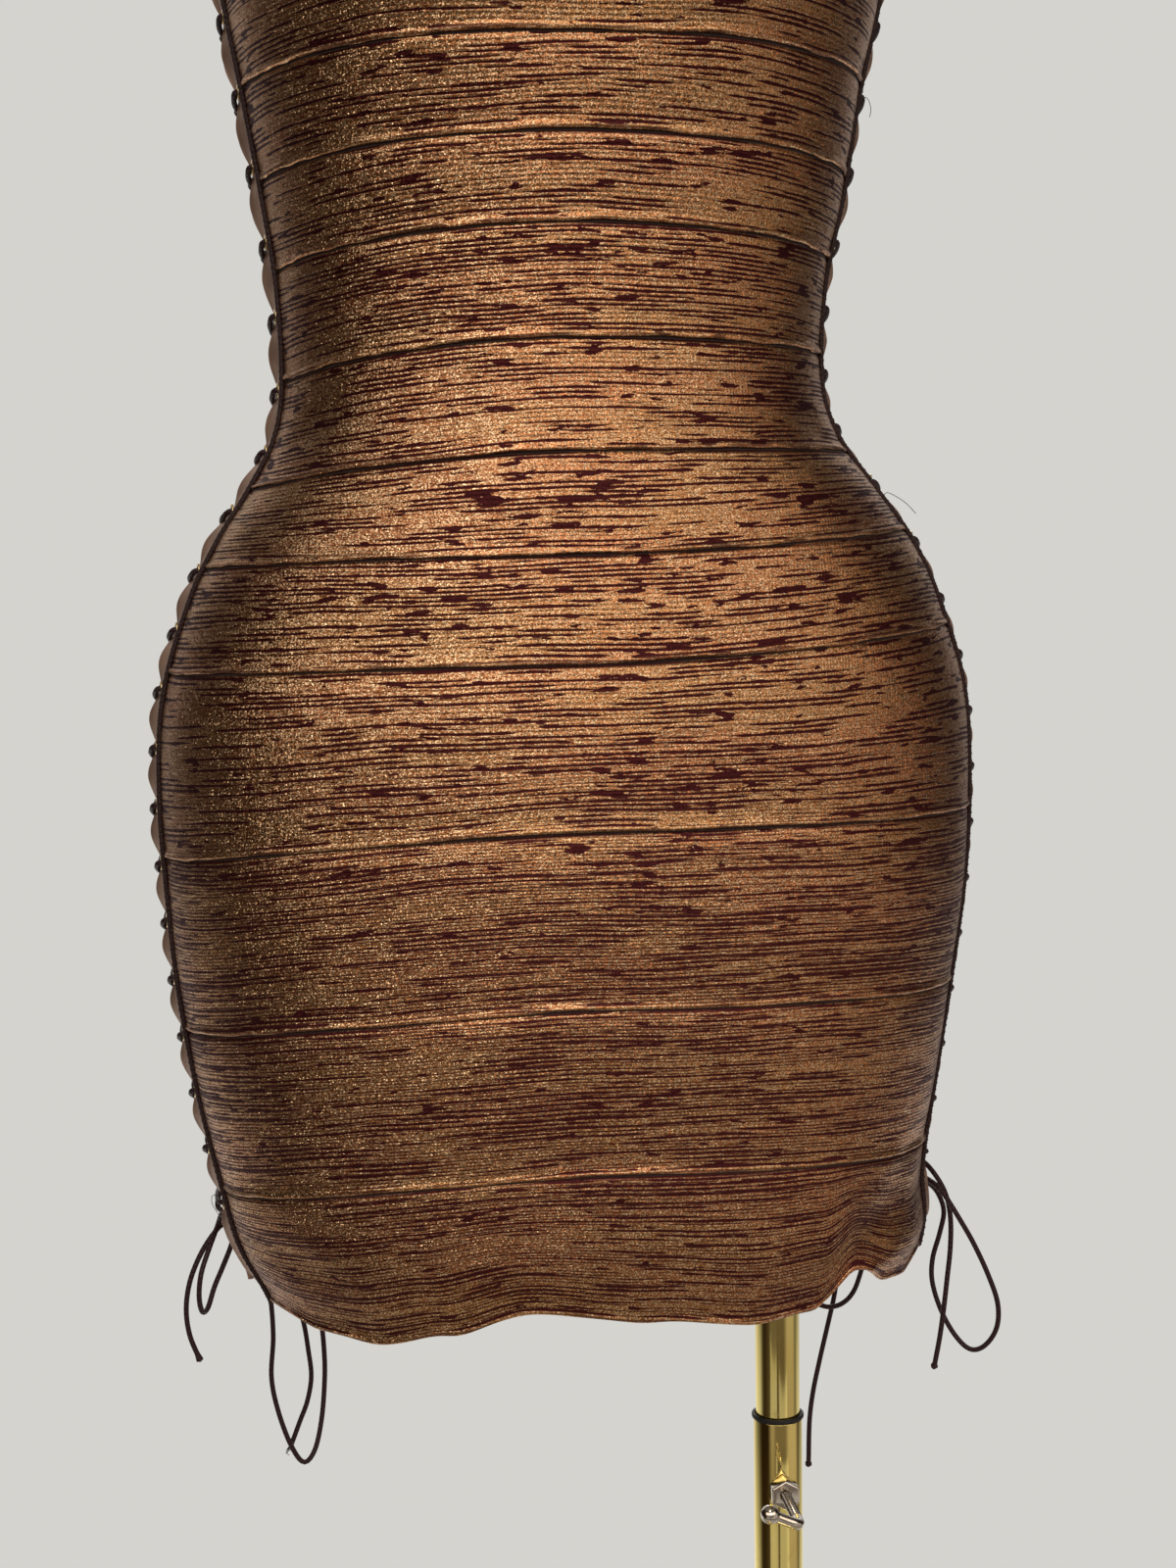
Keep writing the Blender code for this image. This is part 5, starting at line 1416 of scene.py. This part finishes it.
def makeForm():
    low, high = formRows[0][0], formRows[-1][0]
    levels = {row[0] for row in formRows[:3] + formRows[-3:]}
    levels |= set(np.arange(low + 0.014, high - 0.008, form["rowStep"]))
    levels = sorted(levels)
    insets = readRows(formRows, levels)[:, 1]
    shape = bmesh.new()
    rings = [[shape.verts.new(point) for point in formRing(level, inset)]
             for level, inset in zip(levels, insets)]
    middle = Vector(np.mean([vert.co for vert in rings[-1]], axis=0))
    last = 1.0
    for share in (0.9, 0.6, 0.3):
        ring = []
        for vert in rings[-1]:
            flat = middle + (vert.co - middle) * (share / last)
            flat.z = high + form["dome"] * (1 - share ** 2)
            ring.append(shape.verts.new(flat))
        rings.append(ring)
        last = share
    for upper, lower in zip(rings, rings[1:]):
        for k in range(len(upper)):
            m = (k + 1) % len(upper)
            shape.faces.new((upper[k], upper[m], lower[m], lower[k]))
    peak = shape.verts.new(middle + Vector((0.0, 0.0, form["dome"])))
    for k, vert in enumerate(rings[-1]):
        shape.faces.new((vert, rings[-1][(k + 1) % len(rings[-1])], peak))
    # the socket for the mast, open below
    steps = 48
    bore = form["socketRadius"]
    mouth, end = ([shape.verts.new((stand["mastX"] + bore * math.cos(math.tau * k / steps),
                                    bore * math.sin(math.tau * k / steps), level))
                   for k in range(steps)] for level in (low, low + form["socketDepth"]))
    for k in range(steps):
        m = (k + 1) % steps
        shape.faces.new((mouth[k], mouth[m], end[m], end[k]))
    shape.faces.new(end)
    rim = [edge for edge in shape.edges if edge.is_boundary]
    bmesh.ops.triangle_fill(shape, use_beauty=True, edges=rim)
    bmesh.ops.recalc_face_normals(shape, faces=shape.faces)
    piece = shapePiece("dress_form_shell", shape, "jersey", 60.0)
    settle(piece, "figure", "form_jersey", "dress_form")


makeForm()
print("dress form made")


def softened(profile, radius, steps=4):
    # round the corners of a closed profile of (radius, height) rows
    made = []
    for i, point in enumerate(profile):
        corner = Vector(point)
        before, after = Vector(profile[i - 1]), Vector(profile[(i + 1) % len(profile)])
        cutBack = min(radius, (before - corner).length * 0.45, (after - corner).length * 0.45)
        start = corner + (before - corner).normalized() * cutBack
        end = corner + (after - corner).normalized() * cutBack
        for k in range(steps + 1):
            t = k / steps
            made.append(tuple(start.lerp(corner, t).lerp(corner.lerp(end, t), t)))
    return made


def pipeWall(inner, outer, low, high):
    # the profile of a straight round wall
    return (inner, high), (outer, high), (outer, low), (inner, low)


def makeTubes():
    centre = (stand["mastX"], 0.0)
    gap = cut["gap"]
    top = formRows[0][0] + form["socketDepth"] - gap
    bore, under = stand["mastRadius"] - stand["mastWall"], top - stand["mastCap"]
    mast = softened(((stand["mastRadius"], top), (stand["mastRadius"], stand["mastBottom"]),
                     (bore, stand["mastBottom"]), (bore, under)), 0.0006)
    mast = [(0.0, top)] + mast + [(0.0, under)]
    piece = turnedPiece("mast_tube_polished", mast, "brass", centre)
    settle(piece, "mast", "polished_brass", "mast_tube")
    foot = stand["baseThickness"] + gap
    lower = softened(pipeWall(stand["tubeBore"], stand["tubeRadius"], foot, stand["tubeTop"]),
                     0.0003)
    # the clamp's hole is cut through the wall behind the nut
    piece = turnedPiece("lower_tube_polished", lower, "brass", centre, closed=True)
    settle(drilled(piece), "stand", "polished_brass", "lower_tube")
    low = stand["tubeTop"] + gap
    ring = softened(pipeWall(stand["tubeBore"], stand["ringRadius"], low,
                             low + stand["ringHeight"]), 0.0012, 6)
    piece = turnedPiece("top_ring_rubber", ring, "rubber", centre, closed=True, sharp=80.0)
    settle(piece, "stand", "black_rubber", "top_ring")
    inner = stand["tubeRadius"] + gap
    neck, edge = inner + stand["flangeNeck"], foot + stand["flangeEdge"]
    flange = softened(((inner, foot + stand["flangeHeight"]), (neck, foot + stand["flangeHeight"]),
                       (neck, edge + 0.001), (neck + 0.001, edge), (stand["flangeRadius"], edge),
                       (stand["flangeRadius"], foot), (inner, foot)), 0.0008)
    piece = turnedPiece("foot_flange_polished", flange, "brass", centre, closed=True)
    settle(piece, "stand", "polished_brass", "foot_flange")
    plate = [(0.0, stand["baseThickness"])]
    plate += softened(((stand["baseRadius"], stand["baseThickness"]),
                       (stand["baseRadius"], 0.0)), 0.0016, 5)[:12]
    plate += [(0.0, 0.0)]
    piece = turnedPiece("base_plate_polished", plate, "brass", steps=160)
    settle(piece, "stand", "polished_brass", "base_plate")


def uprightRod(corners, radius, length):
    shape = bmesh.new()
    bmesh.ops.create_cone(shape, cap_ends=True, segments=corners, radius1=radius,
                          radius2=radius, depth=length)
    return shape


def layDown(shape, y):
    # point an upright rod at the mast, at the clamp's height
    bmesh.ops.rotate(shape, verts=shape.verts, matrix=Matrix.Rotation(math.pi / 2, 3, "X"))
    bmesh.ops.translate(shape, verts=shape.verts, vec=(stand["mastX"], y, stand["clampHeight"]))


def drilled(piece):
    # take the screw's bore out of a piece of the stand
    shape = uprightRod(32, stand["screwRadius"] + cut["gap"], stand["boreDepth"])
    layDown(shape, -stand["boreDepth"] / 2)
    mesh = bpy.data.meshes.new("bore")
    shape.to_mesh(mesh)
    shape.free()
    drill = placed("bore", mesh)
    modifier = piece.modifiers.new("bore", "BOOLEAN")
    modifier.operation = "DIFFERENCE"
    modifier.solver = "EXACT"
    modifier.object = drill
    made = plainMesh(piece)
    piece.modifiers.clear()
    piece.data = made
    bpy.data.objects.remove(drill, do_unlink=True)
    made.set_sharp_from_angle(angle=math.radians(35))
    return piece


def makeClamp():
    shape = uprightRod(6, stand["nutRadius"], stand["nutDepth"])
    bmesh.ops.bevel(shape, geom=list(shape.edges), offset=0.0009, segments=4, profile=0.5,
                    affect="EDGES", clamp_overlap=True)
    layDown(shape, -(stand["tubeRadius"] + cut["gap"] + stand["nutDepth"] / 2))
    nut = shapePiece("clamp_nut_boss", shape, "chrome", 35.0)
    settle(drilled(nut), "stand", "warm_chrome", "clamp_nut")

    middle = Vector((stand["mastX"], 0.0, stand["clampHeight"]))
    tip = Vector((0.0, -(stand["mastRadius"] + 2 * cut["gap"]), 0.0))
    elbow = Vector((0.0, -stand["elbow"], 0.0))
    ball = Vector((stand["leverEnd"][0], -stand["elbow"], stand["leverEnd"][1]))
    lever = (ball - elbow).normalized()
    start = elbow + Vector((0.0, stand["bend"], 0.0))
    end = elbow + lever * stand["bend"]
    turn = 8        # points in each turn of the thread
    fine = stand["threadPitch"] / turn
    threaded = int((stand["threadEnd"] + tip.y) / fine)
    points = [tip - Vector((0.0, fine * k, 0.0)) for k in range(threaded)]
    points += [points[-1].lerp(start, k / 6) for k in range(1, 6)]
    points += [start.lerp(elbow, t / 10).lerp(elbow.lerp(end, t / 10), t / 10)
               for t in range(11)]
    neck = len(points)
    far = ball + lever * stand["ballRadius"] * 0.98
    steps = 34
    points += [end.lerp(far, k / steps) for k in range(1, steps + 1)]
    radii = []
    for i, point in enumerate(points):
        radius = stand["screwRadius"]
        if i >= neck:
            away = (point - ball).length
            girth = math.sqrt(max(stand["ballRadius"] ** 2 - away ** 2, 0.0))
            radius = max(girth, radius if (point - ball).dot(lever) < 0 else 0.0002)
        radii.append(radius)

    def radiusAt(i, angle):
        if 1 < i < threaded:
            phase = (i / turn - angle / math.tau) % 1.0
            return radii[i] - stand["threadDepth"] * abs(2 * phase - 1)
        return radii[i]

    points = [middle + point for point in points]
    screw = tubePiece("clamp_screw_lever", points, radiusAt, "chrome", sharp=180.0, ring=24)
    settle(screw, "clamp", "warm_chrome", "clamp_screw")


makeTubes()
makeClamp()
print("stand made")


# floor, lights and room
studio = {
    "backdrop": (0.660, 0.652, 0.622),
    "floor": (0.654, 0.646, 0.616),
    "floorRadius": 2.2,
    "floorFade": (0.30, 1.0),       # radii between which the floor melts into the backdrop
    # each pale part of the room: the azimuths and heights it spans, its edges' softness,
    # its colour times its strength; azimuth 0 is straight ahead of the dress
    "panels": (
        ((-64, 66), 10, (0.20, 0.62), 0.09, (1.62, 1.44, 1.26)),
        ((-22, 38), 18, (-0.08, 0.16), 0.10, (0.102, 0.090, 0.080)),
        ((-48, 90), 10, (-0.30, 0.16), 0.07, (0.150, 0.128, 0.111)),
        ((-46, -26), 9, (-0.24, 0.16), 0.07, (0.22, 0.190, 0.166)),
        ((34, 88), 12, (-0.60, 0.16), 0.10, (0.275, 0.240, 0.212)),
        ((-62, 100), 14, (-2.0, -0.28), 0.08, (0.052, 0.043, 0.033)),
        ((-200, -134), 16, (-0.50, 0.60), 0.20, (0.240, 0.222, 0.205)),
        ((136, 200), 16, (-0.50, 0.60), 0.20, (0.120, 0.111, 0.102)),
    ),
    "glows": (
        ((0.0, 0.95, 0.30), 5.0, (0.72, 0.71, 0.70)),
        ((0.0, 0.0, 1.0), 6.0, (0.50, 0.47, 0.44)),
    ),
    "room": (0.016, 0.008, 0.004),
    # the floor as it shines back: dim in front, pale beside and behind
    "floorFront": (0.040, 0.028, 0.018),
    "floorBack": (0.74, 0.72, 0.69),
    "floorRise": (-0.20, -0.42),
    "floorTurn": (-0.05, 0.50),
    "lights": (
        # name, place, aim, width, height, power, colour
        ("ceiling strip", (-0.15, -1.05, 2.55), (0.00, 0.0, 1.00), 0.35, 0.9, 7.0,
         (1.0, 0.93, 0.84)),
        ("front window", (0.08, -1.22, 1.20), (0.08, 0.0, 1.16), 0.44, 0.50, 0.82,
         (1.0, 0.91, 0.82)),
        ("low card left", (-0.34, -0.70, 0.22), (0.0, 0.0, 0.52), 0.52, 0.20, 0.11,
         (1.0, 0.97, 0.90)),
        ("low card right", (0.33, -0.70, 0.22), (0.1, 0.0, 0.52), 0.60, 0.20, 0.13,
         (1.0, 0.97, 0.90)),
        ("back light", (0.3, 2.2, 2.3), (0.0, 0.0, 1.0), 1.2, 1.2, 14.0, (1.0, 0.99, 0.97)),
    ),
}


def makeFloor():
    kit = Finish("pale floor")
    place = kit.place()
    away = kit.arrows("LENGTH", place, {}, "Value")
    cloud = kit.noise(place, 1.6, 3.0)
    tint = kit.mix(cloud, studio["floor"], tuple(value * 0.97 for value in studio["floor"]))
    paint = kit.add("ShaderNodeBsdfDiffuse", None, {"Color": tint})
    clear = kit.add("ShaderNodeBsdfTransparent")
    mixed = kit.add("ShaderNodeMixShader", None,
                    {0: away.rise(*studio["floorFade"]), 1: paint[0], 2: clear[0]})
    kit.add("ShaderNodeOutputMaterial", None, {"Surface": mixed[0]})
    finishes["floor"] = kit.material
    profile = [(studio["floorRadius"] * (k / 12), -0.0004) for k in range(13)]
    turnedPiece("floor", profile, "floor")


def makeLights():
    for name, place, aim, width, height, power, colour in studio["lights"]:
        lamp = bpy.data.lights.new(name, "AREA")
        lamp.shape = "RECTANGLE"
        lamp.size = width
        lamp.size_y = height
        lamp.energy = power
        lamp.color = colour
        source = placed(name, lamp)
        source.location = place
        source.visible_camera = False
        source.rotation_euler = (Vector(aim) - Vector(place)).to_track_quat("-Z", "Y").to_euler()


def makeRoom():
    # what the shiny surfaces mirror: glows and pale panels in a dark room, over a floor
    world = bpy.data.worlds.new("soft room")
    world.use_nodes = True
    world.node_tree.nodes.clear()
    kit = NodeKit(world.node_tree)
    direction = kit.add("ShaderNodeTexCoord")["Generated"]
    glow = kit.vector(*studio["room"])
    for aim, tightness, colour in studio["glows"]:
        towards = kit.arrows("DOT_PRODUCT", direction, {1: Vector(aim).normalized()}, "Value")
        lobe = kit.scaled(colour, towards.most(0.0) ** tightness)
        glow = kit.arrows("ADD", glow, {1: lobe})
    across, ahead, height = kit.split(direction)
    ground = kit.mix(ahead.rise(*studio["floorTurn"]), studio["floorFront"], studio["floorBack"])
    glow = kit.mix(height.rise(*studio["floorRise"]), glow, ground)
    azimuth = across.join("ARCTAN2", ahead * -1.0) * (180 / math.pi)
    for turns, turnEdge, heights, heightEdge, colour in studio["panels"]:
        share = (azimuth.rise(turns[0] - turnEdge, turns[0] + turnEdge)
                 * azimuth.rise(turns[1] + turnEdge, turns[1] - turnEdge)
                 * height.rise(heights[0] - heightEdge, heights[0] + heightEdge)
                 * height.rise(heights[1] + heightEdge, heights[1] - heightEdge))
        glow = kit.arrows("ADD", glow, {1: kit.scaled(colour, share)})
    seen = kit.add("ShaderNodeLightPath")["Is Camera Ray"]
    sky = kit.mix(seen, glow, studio["backdrop"])
    shade = kit.add("ShaderNodeBackground", None, {"Color": sky, "Strength": 1.0})
    kit.add("ShaderNodeOutputWorld", None, {"Surface": shade[0]})
    bpy.context.scene.world = world
    bpy.context.scene.view_settings.view_transform = "Standard"


makeFloor()
makeLights()
makeRoom()
print("studio lit")
